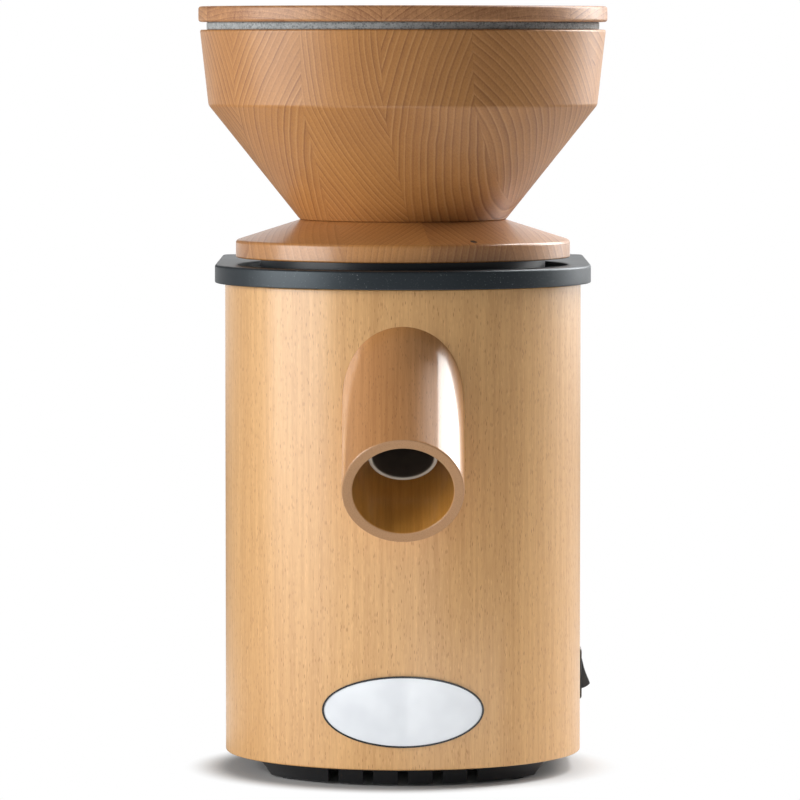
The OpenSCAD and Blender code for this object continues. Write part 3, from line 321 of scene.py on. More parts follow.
def dashes(m, grain, width, length, share):
    """Short dashes along the grain, some longer and some left out"""
    flat = m.scaled(grain, 1 / width, 1 / length, 1 / width)
    luck = m.parts(m.cells(flat, output=1))[0]
    return (1 - m.ramp(m.cells(flat), 0.16, 0.42)) * m.ramp(luck, share, 1.0)


def beech_finish(m, base, deep, marks, rings=None, satin=0.42, depth=0.00002, coat=0.5):
    """Colour and sheen of lacquered beech from its marks"""
    fine, broad, tone, flecks, light = marks
    streak = m.ramp(fine, 0.28, 0.72)
    band = m.ramp(broad, 0.3, 0.7)
    dark = 0.20 * streak + 0.26 * band + 0.22 * m.ramp(tone, 0.25, 0.75)
    if rings is not None:
        dark = dark + rings
    colour = m.mix(dark, base, deep)
    colour = m.mix(0.75 * flecks, colour, tinted(m, deep, 0.72, 0.62, 0.52))
    colour = m.mix(0.4 * light, colour, tinted(m, base, 1.15, 1.2, 1.3))
    height = 0.5 * streak - 1.2 * flecks
    rough = satin + 0.06 * streak + 0.12 * flecks
    return m.surface(colour, rough, m.bump(height, depth), Coat_Weight=coat, Coat_Roughness=0.25)


def body_beech(finish):
    """Beech bent round the body: the grain runs upwards and the pattern follows the wall round"""
    m = Recipe("body_beech")
    x, y, z = m.parts(m.place())
    ahead = m.maths("MINIMUM", y, 0.0)
    behind = m.maths("MAXIMUM", y, 0.0)
    turn = m.maths("ARCTAN2", x, 0.0 - ahead)
    along_wall = turn * BODY_RADIUS + m.maths("SIGN", x) * behind
    depth = m.vector("LENGTH", m.point(x, ahead, 0.0))
    marks = beech_marks(m, m.point(along_wall, z, depth))
    return beech_finish(m, tuple(finish.body_beech), paint("b07c40"), marks, satin=0.40, coat=0.6)


def panel_beech(finish):
    """Flat boards with upright grain, glued edge to edge"""
    m = Recipe("panel_beech")
    x, y, z = m.parts(m.place())
    reach = 200.0
    board = m.maths("FLOOR", (x + reach) / PANEL_BOARD)
    luck = m.chance(board)
    marks = beech_marks(m, m.point(x + 7.0 * luck, z + 90.0 * luck, y))
    beside = x - (board * PANEL_BOARD - (reach - PANEL_BOARD / 2))
    arch = m.vector("LENGTH", m.point(beside, (z - 60.0) * 0.05, y - 320.0 * luck))
    rings = 0.22 * m.ramp(m.maths("FRACT", arch / 3.3), 0.5, 0.95) * luck + 0.10 * luck
    return beech_finish(m, tuple(finish.body_beech), paint("a8743c"), marks, rings, satin=0.45)


# Boards of the hopper, from its left to its right: the heart that the growth rings run round, beside
# the board's own middle, and how much darker the board is
BOWL_BOARDS = [
    (-281, 58, -113, 0.08),
    (238, -149, -142, 0.06),
    (176, -106, 46, 0.00),
    (380, -60, -100, 0.04),
    (-132, -226, -210, 0.04),
    (-180, -60, -90, 0.04),
]
FLANGE_BOARDS = [
    (-260, -40, 30, 0.10),
    (240, -90, 60, 0.08),
    (-250, 130, 40, 0.00),
    (220, 60, -60, 0.30),
    (-230, -50, -80, 0.22),
    (250, -60, 50, 0.03),
]


def glued_boards(m, place, waved, boards, turn, width, first, middle_z):
    """Where a point lies from the heart of its board's growth rings, and the board's own shade.

    The joints are upright planes, turned about Z; boards lists a heart and a shade for each board.
    The rings follow the waved place, and the joints stay straight.
    """
    grain = m.turned(waved, (0, 0, turn))
    x, y, z = m.parts(grain)
    straight = m.parts(m.turned(place, (0, 0, turn)))[0]
    count = len(boards)
    number = m.maths("FLOOR", (straight - first) / width)
    share = (number + 0.5) / count
    reach = 800.0
    stops = [
        (i / count, (*((h + reach / 2) / reach for h in heart), shade))
        for i, (*heart, shade) in enumerate(boards)
    ]
    table = m.node("ValToRGB", {"stops": stops, "blending": "CONSTANT"}, {0: share})
    hx, hy, hz = m.parts(m.scaled(table, reach))
    middle = first + (number + 0.5) * width
    away = m.point(x - middle - (hx - reach / 2), y - (hy - reach / 2), z - middle_z - (hz - reach / 2))
    edge = m.maths("ABSOLUTE", m.maths("FRACT", (straight - first) / width) - 0.5)
    return grain, away, table.output(1), number, edge


def growth_lines(m, distance, width, number):
    """A thin dark line and a pale one to each growth ring, and fine lines between them"""
    drift = m.noise(m.point(distance / 9.0, number * 5.3, 0.0), 2.0, 0.5)
    phase = distance / width + 0.7 * drift + 0.2 * m.chance(number)
    ring = m.maths("FLOOR", phase)
    place = m.maths("FRACT", phase)
    strength = 0.35 + 0.65 * m.chance(ring + number * 31.0)
    late = m.ramp(place, 0.2, 0.74) * (1 - m.ramp(place, 0.88, 0.95))
    line = m.ramp(place, 0.66, 0.80) * (1 - m.ramp(place, 0.88, 0.96))
    pale = m.ramp(place, 0.94, 0.99) + (1 - m.ramp(place, 0.04, 0.26))
    hair = m.ramp(m.noise(m.point(distance / 0.5, number * 7.3, 0.0), 2.0, 0.6), 0.3, 0.7)
    return line * strength, late * strength, pale * strength, hair


def hopper_beech(finish, shape, name, boards, turn, first, middle_z, contrast, coat, gloss):
    """Beech boards glued side by side and turned, so that their growth rings show as arcs"""
    m = Recipe(name)
    width = shape.board_width / MM
    ring_width = shape.ring_width / MM
    place = m.place()
    wander = m.noise(m.scaled(place, 1 / 30), 2.0, 0.5, output=1)
    waved = m.vector("ADD", place, m.scaled(m.vector("SUBTRACT", wander, (0.5, 0.5, 0.5)), 2.4))
    grain, away, shade, number, edge = glued_boards(
        m, place, waved, boards, turn, width, first, middle_z
    )
    distance = m.vector("LENGTH", away)
    spread = ring_width * (0.92 + 0.25 * m.chance(number + 2.0))
    line, late, pale, hair = growth_lines(m, distance, spread, number)
    x, y, z = m.parts(grain)
    rays = dashes(m, m.point(x, z, y), 0.55, 1.9, 0.35)
    pores = dashes(m, m.point(x + 3.0, z + 7.0, y), 0.45, 0.6, 0.3)
    fine = m.noise(m.scaled(grain, 1 / 0.6, 1 / 2.2, 1 / 1.1), 3.0, 0.65)
    tone = m.noise(m.scaled(grain, 1 / 24), 2.0, 0.5)
    dark = contrast * (0.30 * line + 0.18 * late + 0.10 * hair) + shade
    dark = dark + 0.20 * m.ramp(fine, 0.3, 0.7) + 0.14 * m.ramp(tone, 0.3, 0.7)
    joint = m.ramp(edge, 0.492, 0.498)
    colour = m.mix(dark, tuple(finish.hopper_beech), tuple(finish.ring_line))
    colour = m.mix(contrast * 0.20 * pale, colour, paint("e8bd84"))
    colour = m.mix(0.30 * rays + 0.30 * pores, colour, tuple(finish.ring_line))
    colour = m.mix(0.12 * joint, colour, tuple(finish.ring_line))
    height = 0.3 * fine - 0.5 * pores - 0.5 * line
    rough = 0.42 + 0.06 * line + 0.08 * pores
    return m.surface(colour, rough, m.bump(height, 0.00001), Coat_Weight=coat, Coat_Roughness=gloss)


LID_BOARDS = [
    (-60, 0, -160, 0.00),
    (-22, 0, -82, 0.14),
    (32, 0, -82, 0.12),
    (60, 0, -120, 0.20),
]


def lid_beech(finish):
    """Two wide boards and two narrow ones, glued side by side with their grain along the lid"""
    m = Recipe("lid_beech")
    place = m.place()
    grain, away, shade, number, edge = glued_boards(
        m, place, place, LID_BOARDS, math.radians(3), 89.5, -183.9, LID_LOW.z
    )
    across, _, upwards = m.parts(away)
    bend = m.noise(m.scaled(grain, 1 / 40, 1 / 260, 1 / 40), 2.0, 0.5)
    distance = m.vector("LENGTH", m.point(across, 0.0, upwards)) + 5.0 * bend
    line, late, pale, hair = growth_lines(m, distance, 2.6, number)
    marks = beech_marks(m, grain)
    joint = m.ramp(edge, 0.496, 0.4992)
    rings = 0.24 * line + 0.12 * late + 0.10 * hair + shade + 0.2 * joint - 0.14 * pale
    return beech_finish(m, tuple(finish.lid_beech), paint("8a5634"), marks, rings, satin=0.44, coat=0.16)


def from_spout_axis(m, place):
    """How far a point lies from the spout's axis"""
    x, y, _ = m.parts(m.turned(place, (-SPOUT_TILT - math.pi / 2, 0, 0), tuple(-SPOUT_ROOT)))
    return m.vector("LENGTH", m.point(x, y, 0.0))


def spout_beech(finish):
    """Grain along the spout; its slanted end is dull end grain and its bore is golden"""
    m = Recipe("spout_beech")
    place = m.place()
    along = m.turned(place, (-SPOUT_TILT - math.pi, 0, 0), tuple(-SPOUT_ROOT))
    fine, broad, tone, flecks, _ = beech_marks(m, along)
    cut_centre = SPOUT_FRAME @ Vector((0, 0, SPOUT_LENGTH))
    cut_normal = Vector((0, -math.cos(SPOUT_CUT), -math.sin(SPOUT_CUT)))
    ahead = m.vector("DOT_PRODUCT", m.vector("SUBTRACT", place, tuple(cut_centre)), tuple(cut_normal))
    end = m.ramp(ahead, -0.5, -0.2)
    bore = 1 - m.ramp(from_spout_axis(m, place), SPOUT_BORE + 0.2, SPOUT_BORE + 0.8)
    dark = 0.16 * m.ramp(fine, 0.3, 0.75) + 0.30 * m.ramp(broad, 0.3, 0.7)
    dark = dark + 0.2 * m.ramp(tone, 0.25, 0.75)
    colour = m.mix(dark, tuple(finish.spout_beech), paint("9a6230"))
    colour = m.mix(0.5 * flecks, colour, paint("744824"))
    colour = m.mix(bore, colour, m.mix(dark, paint("c48a3e"), paint("8d5a1e")))
    specks = 1 - m.ramp(m.cells(m.scaled(place, 1 / 0.7)), 0.1, 0.4)
    dull = m.mix(0.4 * specks + 0.2 * m.ramp(fine, 0.3, 0.7), paint("b08760"), paint("8a6344"))
    colour = m.mix(end, colour, dull)
    rough = 0.33 + 0.08 * m.ramp(fine, 0.35, 0.72) + 0.3 * end
    coat = 0.9 * (1 - end)
    return m.surface(colour, rough, m.bump(0.5 * fine - flecks, 0.00002), Coat_Weight=coat, Coat_Roughness=0.12)


def pipe_plastic(finish):
    """Pale moulded plastic whose inside is rougher and painted dark as shade"""
    m = Recipe("pale_plastic")
    place = m.place()
    inside = 1 - m.ramp(from_spout_axis(m, place), PIPE_BORE + 0.1, PIPE_BORE + 0.9)
    cloud = m.noise(m.scaled(place, 1 / 9), 3.0, 0.6)
    pale = m.mix(0.4 * cloud, tuple(finish.pipe), paint("c4beb2"))
    # Painted shade: the pipe's inside is painted dark brown-grey, as the shade that falls deep in the bore
    colour = m.mix(inside, pale, m.mix(cloud, paint("4a4137"), paint("2e2720")))
    return m.surface(colour, 0.38 + 0.1 * cloud + 0.3 * inside, m.bump(cloud, 0.00003))


def plain_plastic(name, colour, grit, depth, rough, fine=0.35, spread=0.04, **fixed):
    """Moulded plastic with a fine grit of pale specks, partly real grit and partly painted sparkle; fine is the
    grit's size in millimetres
    """
    m = Recipe(name)
    place = m.place()
    grains = m.noise(m.scaled(place, 1 / fine), 3.0, 0.6)
    cloud = m.noise(m.scaled(place, 1 / 22), 2.0, 0.5)
    shade = m.mix(0.5 * m.ramp(cloud, 0.3, 0.7), colour, tinted(m, colour, 0.8, 0.8, 0.82))
    # Pale specks mixed into the colour: partly real grit, partly painted sparkle in place of glints
    grit_and_painted_sparkle = m.ramp(grains, 0.62, 0.78)
    shade = m.mix(grit * grit_and_painted_sparkle, shade, (0.75, 0.78, 0.8, 1))
    return m.surface(shade, rough + spread * grains + 0.04 * cloud, m.bump(grains, depth), **fixed)


def felt_cloth(finish):
    """Pressed wool felt: short tangled fibres, flecked light and dark"""
    m = Recipe("felt")
    place = m.place()
    twist = m.noise(m.scaled(place, 1 / 2.2), 2.0, 0.5, output=1)
    tangled = m.vector("ADD", place, m.scaled(twist, 2.6))
    fibres = m.noise(m.scaled(tangled, 1 / 0.9, 1 / 0.9, 1 / 0.28), 3.0, 0.7)
    clumps = m.noise(m.scaled(place, 1 / 3.4), 2.0, 0.5)
    light = m.ramp(fibres, 0.52, 0.7)
    base = tuple(finish.felt)
    specks = m.cells(m.scaled(place, 1 / 0.7), output=1)
    colour = m.mix(0.5 * m.ramp(clumps, 0.3, 0.7), base, paint("8b9193"))
    colour = m.mix(0.7 * light, colour, paint("dde3e6"))
    colour = m.mix(0.6 * m.ramp(m.parts(specks)[0], 0.6, 0.9), colour, paint("596065"))
    return m.surface(colour, 0.95, m.bump(fibres + 0.6 * clumps, 0.0003), Sheen_Weight=0.2, Specular_IOR_Level=0.2)


def brushed_metal(name, code, rough, along=(1.0, 1.0, 30.0), bump=0.00001):
    """Metal with fine marks; along stretches the marks on each axis"""
    m = Recipe(name)
    place = m.place()
    marks = m.noise(m.scaled(place, *(3.0 / a for a in along)), 3.0, 0.6)
    stain = m.noise(m.scaled(place, 1 / 9), 2.0, 0.5)
    clean = paint(code)
    colour = m.mix(0.5 * m.ramp(stain, 0.3, 0.75), clean, tinted(m, clean, 0.72, 0.72, 0.74))
    return m.surface(colour, rough + 0.12 * marks + 0.08 * stain, m.bump(marks, bump), Metallic=1.0)


def cast_metal(name, code, rough=0.5):
    """Sand-cast aluminium with a grainy skin"""
    m = Recipe(name)
    place = m.place()
    skin = m.noise(m.scaled(place, 1 / 0.8), 4.0, 0.65)
    pits = 1 - m.ramp(m.cells(m.scaled(place, 1 / 2.2)), 0.06, 0.2)
    clean = paint(code)
    colour = m.mix(0.4 * skin + 0.3 * pits, clean, tinted(m, clean, 0.6, 0.6, 0.62))
    return m.surface(colour, rough + 0.15 * skin, m.bump(skin - pits, 0.00012), Metallic=1.0)


def stone_finish():
    """Corundum and ceramic millstone: pale bond with brown and grey grit"""
    m = Recipe("millstone")
    place = m.place()
    grit = m.cells(m.scaled(place, 1 / 0.9), output=1)
    size = m.cells(m.scaled(place, 1 / 0.9))
    pick = m.parts(grit)[0]
    base = m.mix(m.ramp(m.noise(m.scaled(place, 1 / 6)), 0.3, 0.7), paint("d6cdbb"), paint("c2b69f"))
    colour = m.mix(m.ramp(pick, 0.6, 0.65) * (1 - m.ramp(size, 0.2, 0.5)), base, paint("8d6f55"))
    colour = m.mix(m.ramp(pick, 0.2, 0.15) * (1 - m.ramp(size, 0.2, 0.45)), colour, paint("f3efe6"))
    return m.surface(colour, 0.85, m.bump(size, 0.0003))


def winding_finish():
    """Varnished copper wire laid in rings"""
    m = Recipe("copper_wire")
    place = m.place()
    x, y, z = m.parts(place)
    radius = m.vector("LENGTH", m.point(x, y, 0.0))
    turn = m.maths("FRACT", (radius + z * 0.9) / 1.1)
    ridge = m.ramp(turn, 0.0, 0.5) * (1 - m.ramp(turn, 0.5, 1.0))
    stain = m.noise(m.scaled(place, 1 / 5), 2.0, 0.5)
    # Painted shade: each turn darkens from its crown down into the valleys between turns; the stain is the wire's
    # own colour
    colour = m.mix(0.5 * stain + 0.4 * (1 - ridge), paint("c9773f"), paint("6e3316"))
    return m.surface(colour, 0.32 + 0.1 * stain, m.bump(ridge, 0.0004), Metallic=0.7)


def stack_finish():
    """Stacked steel laminations, a line every half millimetre or so"""
    m = Recipe("laminations")
    place = m.place()
    z = m.parts(place)[2]
    sheet = m.maths("FRACT", z / 0.8)
    gap = 1 - m.ramp(sheet, 0.0, 0.25)
    stain = m.noise(m.scaled(place, 1 / 4), 3.0, 0.6)
    colour = m.mix(0.6 * gap + 0.3 * stain, paint("8f9092"), paint("4b4340"))
    return m.surface(colour, 0.45 + 0.2 * stain, m.bump(1 - gap, 0.0001), Metallic=0.9)


# Plain plastics: colour, grit (pale specks, partly painted sparkle), depth of its bumps, roughness, size of the
# grit and spread of the roughness
PLASTICS = {
    "ring_slate": ("30353a", 0.02, 0.00002, 0.34, 0.4, 0.05),
    "switch_black": ("0f1012", 0.03, 0.00002, 0.30, 0.3, 0.06),
    "black_plastic": ("17181a", 0.04, 0.00004, 0.42, 0.4, 0.08),
    "rubber": ("16171a", 0.02, 0.00008, 0.78, 0.5, 0.08),
    "white_plastic": ("dedbd3", 0.0, 0.00003, 0.45, 0.6, 0.06),
    "dot_black": ("141414", 0.0, 0.00002, 0.4, 0.4, 0.05),
    "badge_black": ("101114", 0.0, 0.000004, 0.18, 1.0, 0.05),
}


def make_finishes():
    """All materials by name"""
    scene = bpy.context.scene
    finish, shape = scene.mill_finish, scene.mill_shape
    slate, black, enamel = (tuple(c) for c in (finish.slate, finish.gloss_black, finish.enamel))
    cool = (0.8, 0.92, 1.0, 1)
    bowl = (BOWL_BOARDS, math.radians(15.9), -106.0, BOWL_LOW.z + 50.5, 1.0, 0.22, 0.26)
    flange = (FLANGE_BOARDS, math.radians(-8), -121.0, FLANGE_LOW.z + 6.4, 0.6, 0.5, 0.2)
    made = {name: plain_plastic(name, paint(code), *rest) for name, (code, *rest) in PLASTICS.items()}
    made.update({
        "body_beech": body_beech(finish),
        "panel_beech": panel_beech(finish),
        "bowl_beech": hopper_beech(finish, shape, "bowl_beech", *bowl),
        "flange_beech": hopper_beech(finish, shape, "flange_beech", *flange),
        "lid_beech": lid_beech(finish),
        "spout_beech": spout_beech(finish),
        "slate": plain_plastic("slate_plastic", slate, 0.26, 0.00005, 0.32, 0.7, 0.1, Specular_Tint=cool),
        "gloss_black": plain_plastic("gloss_black", black, 0.0, 0.00001, 0.16, 0.9, 0.05),
        "enamel": plain_plastic("badge_enamel", enamel, 0.0, 0.000004, 0.10, 1.2, 0.04, Coat_Weight=0.6),
        "pipe": pipe_plastic(finish),
        "felt": felt_cloth(finish),
        "zinc": brushed_metal("zinc_steel", "b9bbbd", 0.28),
        "shaft": brushed_metal("ground_steel", "a9abad", 0.22, (1.0, 1.0, 0.4)),
        "bearing": brushed_metal("bearing_steel", "c4c6c8", 0.14, (2.0, 2.0, 2.0)),
        "brass": brushed_metal("brass", "c9a24e", 0.25, (1.0, 6.0, 1.0)),
        "cast": cast_metal("cast_aluminium", "b4b6b8"),
        "stone": stone_finish(),
        "copper": winding_finish(),
        "stack": stack_finish(),
    })
    return made


FINISHES = {}


def finish_of(name):
    if not FINISHES:
        FINISHES.update(make_finishes())
    return FINISHES[name]


# ---------------------------------------------------------------- modelling


def steps_of_turn():
    return bpy.context.scene.mill_shape.round_steps


def shape_mm(name):
    """A size from the panel, in millimetres"""
    return getattr(bpy.context.scene.mill_shape, name) / MM


def wire(points):
    """A wire through (radius, height) points, closed unless it starts on the axis"""
    bm = bmesh.new()
    corners = [bm.verts.new((r, 0, z)) for r, z in points]
    ends = corners[1:] + (corners[:1] if points[0][0] else [])
    for pair in zip(corners, ends):
        bm.edges.new(pair)
    return bm, corners


def picked(items, kind):
    """The vertices, edges or faces among the results of an operator"""
    return [item for item in items if isinstance(item, kind)]


def rounded(bm, geom, size, segments, affect):
    bmesh.ops.bevel(
        bm,
        geom=list(geom),
        offset=size,
        offset_type="OFFSET",
        segments=segments,
        profile=0.5,
        affect=affect,
        material=-1,
        clamp_overlap=affect == "EDGES",
    )


def round_corner(bm, corners, size, segments=4):
    """Round corners of an outline"""
    rounded(bm, corners, size, segments, "VERTICES")


def round_edges(bm, edges, size, segments=3):
    rounded(bm, edges, size, segments, "EDGES")


def lathe(points, rounding=None, steps=None):
    """Turn an outline of (radius, height) about Z; rounding gives a radius by corner number"""
    bm, corners = wire(points)
    for number, size in (rounding or {}).items():
        round_corner(bm, [corners[number]], size)
    bmesh.ops.spin(
        bm,
        geom=bm.verts[:] + bm.edges[:],
        cent=(0, 0, 0),
        axis=(0, 0, 1),
        angle=FULL_TURN,
        steps=steps or steps_of_turn(),
        use_merge=True,
    )
    return sealed(bm)


def rod(radius, z_low, z_high, steps=48):
    """A solid round bar about Z"""
    return lathe([(0, z_low), (radius, z_low), (radius, z_high), (0, z_high)], steps=steps)


def sealed(bm):
    """Merge doubles and point all faces outwards"""
    bmesh.ops.remove_doubles(bm, verts=bm.verts, dist=1e-4)
    bmesh.ops.dissolve_degenerate(bm, dist=1e-5, edges=bm.edges)
    bmesh.ops.recalc_face_normals(bm, faces=bm.faces)
    return bm


def raised(bm, z_low, z_high):
    """Fill a closed wire in the XY plane and raise it to a prism"""
    bmesh.ops.translate(bm, vec=(0, 0, z_low), verts=bm.verts)
    faces = bmesh.ops.edgeloop_fill(bm, edges=bm.edges[:])["faces"]
    risen = bmesh.ops.extrude_face_region(bm, geom=faces)["geom"]
    bmesh.ops.translate(bm, vec=(0, 0, z_high - z_low), verts=picked(risen, BMVert))
    return sealed(bm)


def body_plan(radius, back, corner=0.0, steps=180):
    """The body's plan as a closed wire: a round front, straight sides and a flat back"""
    bm = bmesh.new()
    right = bm.verts.new((radius, 0, 0))
    bmesh.ops.spin(
        bm, geom=[right], cent=(0, 0, 0), axis=(0, 0, 1), angle=-math.pi, steps=steps, use_merge=False
    )
    left = min(bm.verts, key=lambda v: (v.co - Vector((-radius, 0, 0))).length)
    back_right = bm.verts.new((radius, back, 0))
    back_left = bm.verts.new((-radius, back, 0))
    bm.edges.new((right, back_right))
    bm.edges.new((back_right, back_left))
    bm.edges.new((back_left, left))
    if corner:
        round_corner(bm, [back_right, back_left], corner, 8)
    return bm


def sharp_edges(bm, least_angle, lies):
    """Edges whose two faces meet at more than an angle, and whose ends both pass a test"""
    return [
        e
        for e in bm.edges
        if all(lies(v.co) for v in e.verts) and len(e.link_faces) == 2 and e.calc_face_angle() > least_angle
    ]


def level_edges(bm, z):
    """Edges of a prism's face at the height z"""
    return sharp_edges(bm, 0.35, lambda co: abs(co.z - z) < 1e-4)


def block(low, high):
    bm = bmesh.new()
    bmesh.ops.create_cube(bm, size=1)
    low, high = Vector(low), Vector(high)
    bmesh.ops.scale(bm, vec=high - low, verts=bm.verts)
    bmesh.ops.translate(bm, vec=(low + high) / 2, verts=bm.verts)
    return bm


def together(*shapes):
    """Several shapes as one, not joined where they meet"""
    bm = bmesh.new()
    for shape in shapes:
        mesh = bpy.data.meshes.new("part")
        shape.to_mesh(mesh)
        shape.free()
        bm.from_mesh(mesh)
        bpy.data.meshes.remove(mesh)
    return bm


def moved(bm, matrix):
    bmesh.ops.transform(bm, matrix=matrix, verts=bm.verts)
    return bm


def shifted(bm, x=0.0, y=0.0, z=0.0):
    return moved(bm, Matrix.Translation((x, y, z)))


def loose_object(bm):
    mesh = bpy.data.meshes.new("tool")
    bm.to_mesh(mesh)
    bm.free()
    made = bpy.data.objects.new("tool", mesh)
    bpy.context.scene.collection.objects.link(made)
    return made


def carve(bm, *tools, operation="DIFFERENCE"):
    """Cut closed shapes out of a shape, one after the other, or join them to it"""
    base = loose_object(bm)
    cutters = [loose_object(tool) for tool in tools]
    for cutter in cutters:
        change = base.modifiers.new("carve", "BOOLEAN")
        change.object = cutter
        change.operation = operation
        change.solver = "EXACT"
    graph = bpy.context.evaluated_depsgraph_get()
    mesh = bpy.data.meshes.new_from_object(base.evaluated_get(graph))
    out = bmesh.new()
    out.from_mesh(mesh)
    bpy.data.meshes.remove(mesh)
    for thing in (base, *cutters):
        old = thing.data
        bpy.data.objects.remove(thing)
        bpy.data.meshes.remove(old)
    return out


def piece(name, bm, finish, body, replaced=(), crease=32):
    """Make an object of a shape in millimetres, finish it and tie it to its body of the frame"""
    bmesh.ops.remove_doubles(bm, verts=bm.verts, dist=1e-4)
    bmesh.ops.scale(bm, vec=(MM, MM, MM), verts=bm.verts)
    mesh = bpy.data.meshes.new(name)
    bm.to_mesh(mesh)
    bm.free()
    mesh.shade_smooth()
    mesh.set_sharp_from_angle(angle=math.radians(crease))
    made = bpy.data.objects.new(name, mesh)
    bpy.context.scene.collection.objects.link(made)
    even = made.modifiers.new("even normals", "WEIGHTED_NORMAL")
    even.keep_sharp = True
    graph = bpy.context.evaluated_depsgraph_get()
    made.data = bpy.data.meshes.new_from_object(made.evaluated_get(graph))
    made.modifiers.clear()
    bpy.data.meshes.remove(mesh)
    made.data.name = name
    made.data.materials.clear()
    made.data.materials.append(finish_of(finish))
    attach(made, body)
    if replaced:
        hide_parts(*replaced)
    return made


def dress(finish, *nodes):
    """Give nodes of the frame their finish"""
    for node in nodes:
        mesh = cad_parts[node].data
        mesh.materials.clear()
        mesh.materials.append(finish_of(finish))


# ---------------------------------------------------------------- operators


class MILL_OT_body(bpy.types.Operator):
    """Build the bent beech body, with its openings for the spout and the switch"""

    bl_idname = "mill.body"
    bl_label = "Wooden Body"

    def execute(self, context):
        edge = shape_mm("wood_edge")
        shell = raised(body_plan(BODY_RADIUS, BODY_BACK, 3.0), BODY_LOW.z, BODY_HIGH.z)
        rims = level_edges(shell, BODY_LOW.z) + level_edges(shell, BODY_HIGH.z)
        round_edges(shell, rims, edge)
        cavity = raised(body_plan(CAVITY_RADIUS, BODY_BACK + 5), BODY_LOW.z - 5, BODY_HIGH.z + 5)
        bore = moved(rod(SPOUT_RADIUS + FIT, -60, 60, 128), SPOUT_FRAME)
        pin, wide, tall = SWITCH_PIN, 8.4, 11.3
        window = block(
            (CAVITY_RADIUS - 4, pin.y - wide, pin.z - tall), (BODY_RADIUS + 4, pin.y + wide, pin.z + tall)
        )
        shell = carve(shell, cavity, bore, window)
        battens = []
        half = 7
        for side in (-1, 1):
            x = side * (CAVITY_RADIUS - half)
            low = (x - half, PANEL_FRONT - 2 * half, BODY_LOW.z + 4)
            battens.append(block(low, (x + half, PANEL_FRONT, BODY_HIGH.z - 6)))
        shell = together(shell, *battens)
        piece("body_shell", shell, "body_beech", "root", ["housing_shell"])
        return {"FINISHED"}


class MILL_OT_back_panel(bpy.types.Operator):
    """Build the flat back panel with its vent slots, screw seats and gland hole"""

    bl_idname = "mill.back_panel"
    bl_label = "Back Panel"

    def execute(self, context):
        low, high = node_box("back_panel")
        panel = block(low, high)
        round_edges(panel, panel.edges[:], 0.35, 2)
        across = Matrix.Rotation(-math.pi / 2, 4, "X")
        tools = []
        slots, spacing = 9, 10.0
        for i in range(slots):
            slot = self.slot(4.0, 62.0, high.y)
            tools.append(shifted(slot, (i - slots // 2) * spacing, 0, low.z + 136.0))
        screw_low, screw_high = node_box("back_panel_screws")
        middle = (screw_low + screw_high) / 2
        head, shank = 3.4, 1.75
        wide = head + 0.25
        for side in (-1, 1):
            for z in (screw_low.z + head, middle.z, screw_high.z - head):
                x = side * (screw_high.x - head)
                outline = [(0, -20), (shank, -20), (shank, -shank), (wide, 0.2), (wide, 3), (0, 3)]
                seat = lathe(outline, steps=48)
                tools.append(moved(seat, Matrix.Translation((x, high.y, z)) @ across))
        gland_low, gland_high = node_box("cable_gland")
        centre = (gland_low + gland_high) / 2
        hole = rod(6.95, -20, 5, 64)
        tools.append(moved(hole, Matrix.Translation((centre.x, high.y, centre.z)) @ across))
        panel = carve(panel, *tools)
        piece("back_board", panel, "panel_beech", "root", ["back_panel"])
        dress("zinc", "back_panel_screws")
        dress("black_plastic", "gland_nut")
        return {"FINISHED"}

    @staticmethod
    def slot(width, length, outside):
        """A slot with round ends, a little wider at the outer face"""
        bm = bmesh.new()
        half = (length - width) / 2
        bmesh.ops.create_circle(bm, cap_ends=False, radius=width / 2, segments=24)
        upper = [v for v in bm.verts if v.co.y >= -1e-6]
        lower = [v for v in bm.verts if v.co.y < -1e-6]
        bmesh.ops.translate(bm, vec=(0, half, 0), verts=upper)
        bmesh.ops.translate(bm, vec=(0, -half, 0), verts=lower)
        faces = bmesh.ops.edgeloop_fill(bm, edges=bm.edges[:])["faces"]
        for step, (rise, grow) in enumerate(((20.45, 1.0), (0.35, 1.22), (3.0, 1.0))):
            covered = faces if step else []
            risen = bmesh.ops.extrude_face_region(bm, geom=faces)["geom"]
            faces, verts = picked(risen, BMFace), picked(risen, BMVert)
            bmesh.ops.delete(bm, geom=[face for face in covered if face.is_valid], context="FACES_ONLY")
            bmesh.ops.translate(bm, vec=(0, 0, rise), verts=verts)
            if grow != 1.0:
                for v in verts:
                    v.co.x *= grow
                    v.co.y *= 1 + (grow - 1) * width / length
        sealed(bm)
        place = Matrix.Translation((0, outside - 20.8, 0)) @ Matrix.Rotation(-math.pi / 2, 4, "X")
        return moved(bm, place)


class MILL_OT_top_plate(bpy.types.Operator):
    """Build the slate plastic plate with its round recess and the collar below it"""

    bl_idname = "mill.top_plate"
    bl_label = "Top Plate"

    def execute(self, context):
        top = PLATE_HIGH.z
        plate = raised(body_plan(PLATE_HIGH.x, PLATE_HIGH.y, 7.0), BODY_HIGH.z, top)
        round_edges(plate, level_edges(plate, top), shape_mm("plate_edge"), 4)
        round_edges(plate, level_edges(plate, BODY_HIGH.z), 0.6, 2)
        bore, outer, low, joint = COLLAR_BORE, 77.1, PLATE_LOW.z, BODY_HIGH.z + 1
        collar = lathe([(bore, low), (outer, low), (outer, joint), (bore, joint)], {0: 0.5, 1: 0.5})
        plate = carve(plate, collar, operation="UNION")
        recess = lathe(
            [
                (0, low - 3),
                (bore, low - 3),
                (bore, top - 7.8),
                (bore + 0.8, top - 7.0),
                (RECESS_RADIUS - 0.6, top - 7.0),
                (RECESS_RADIUS, top - 6.4),
                (RECESS_RADIUS, top - 0.9),
                (RECESS_RADIUS + 0.25, top - 0.35),
                (RECESS_RADIUS + 0.9, top),
                (RECESS_RADIUS + 0.9, top + 4),
                (0, top + 4),
            ]
        )
        plate = carve(plate, recess)
        piece("slate_plate", plate, "slate", "root", ["top_plate"])
        dress("ring_slate", "adjusting_ring")
        dress("zinc", "plate_screws")
        return {"FINISHED"}


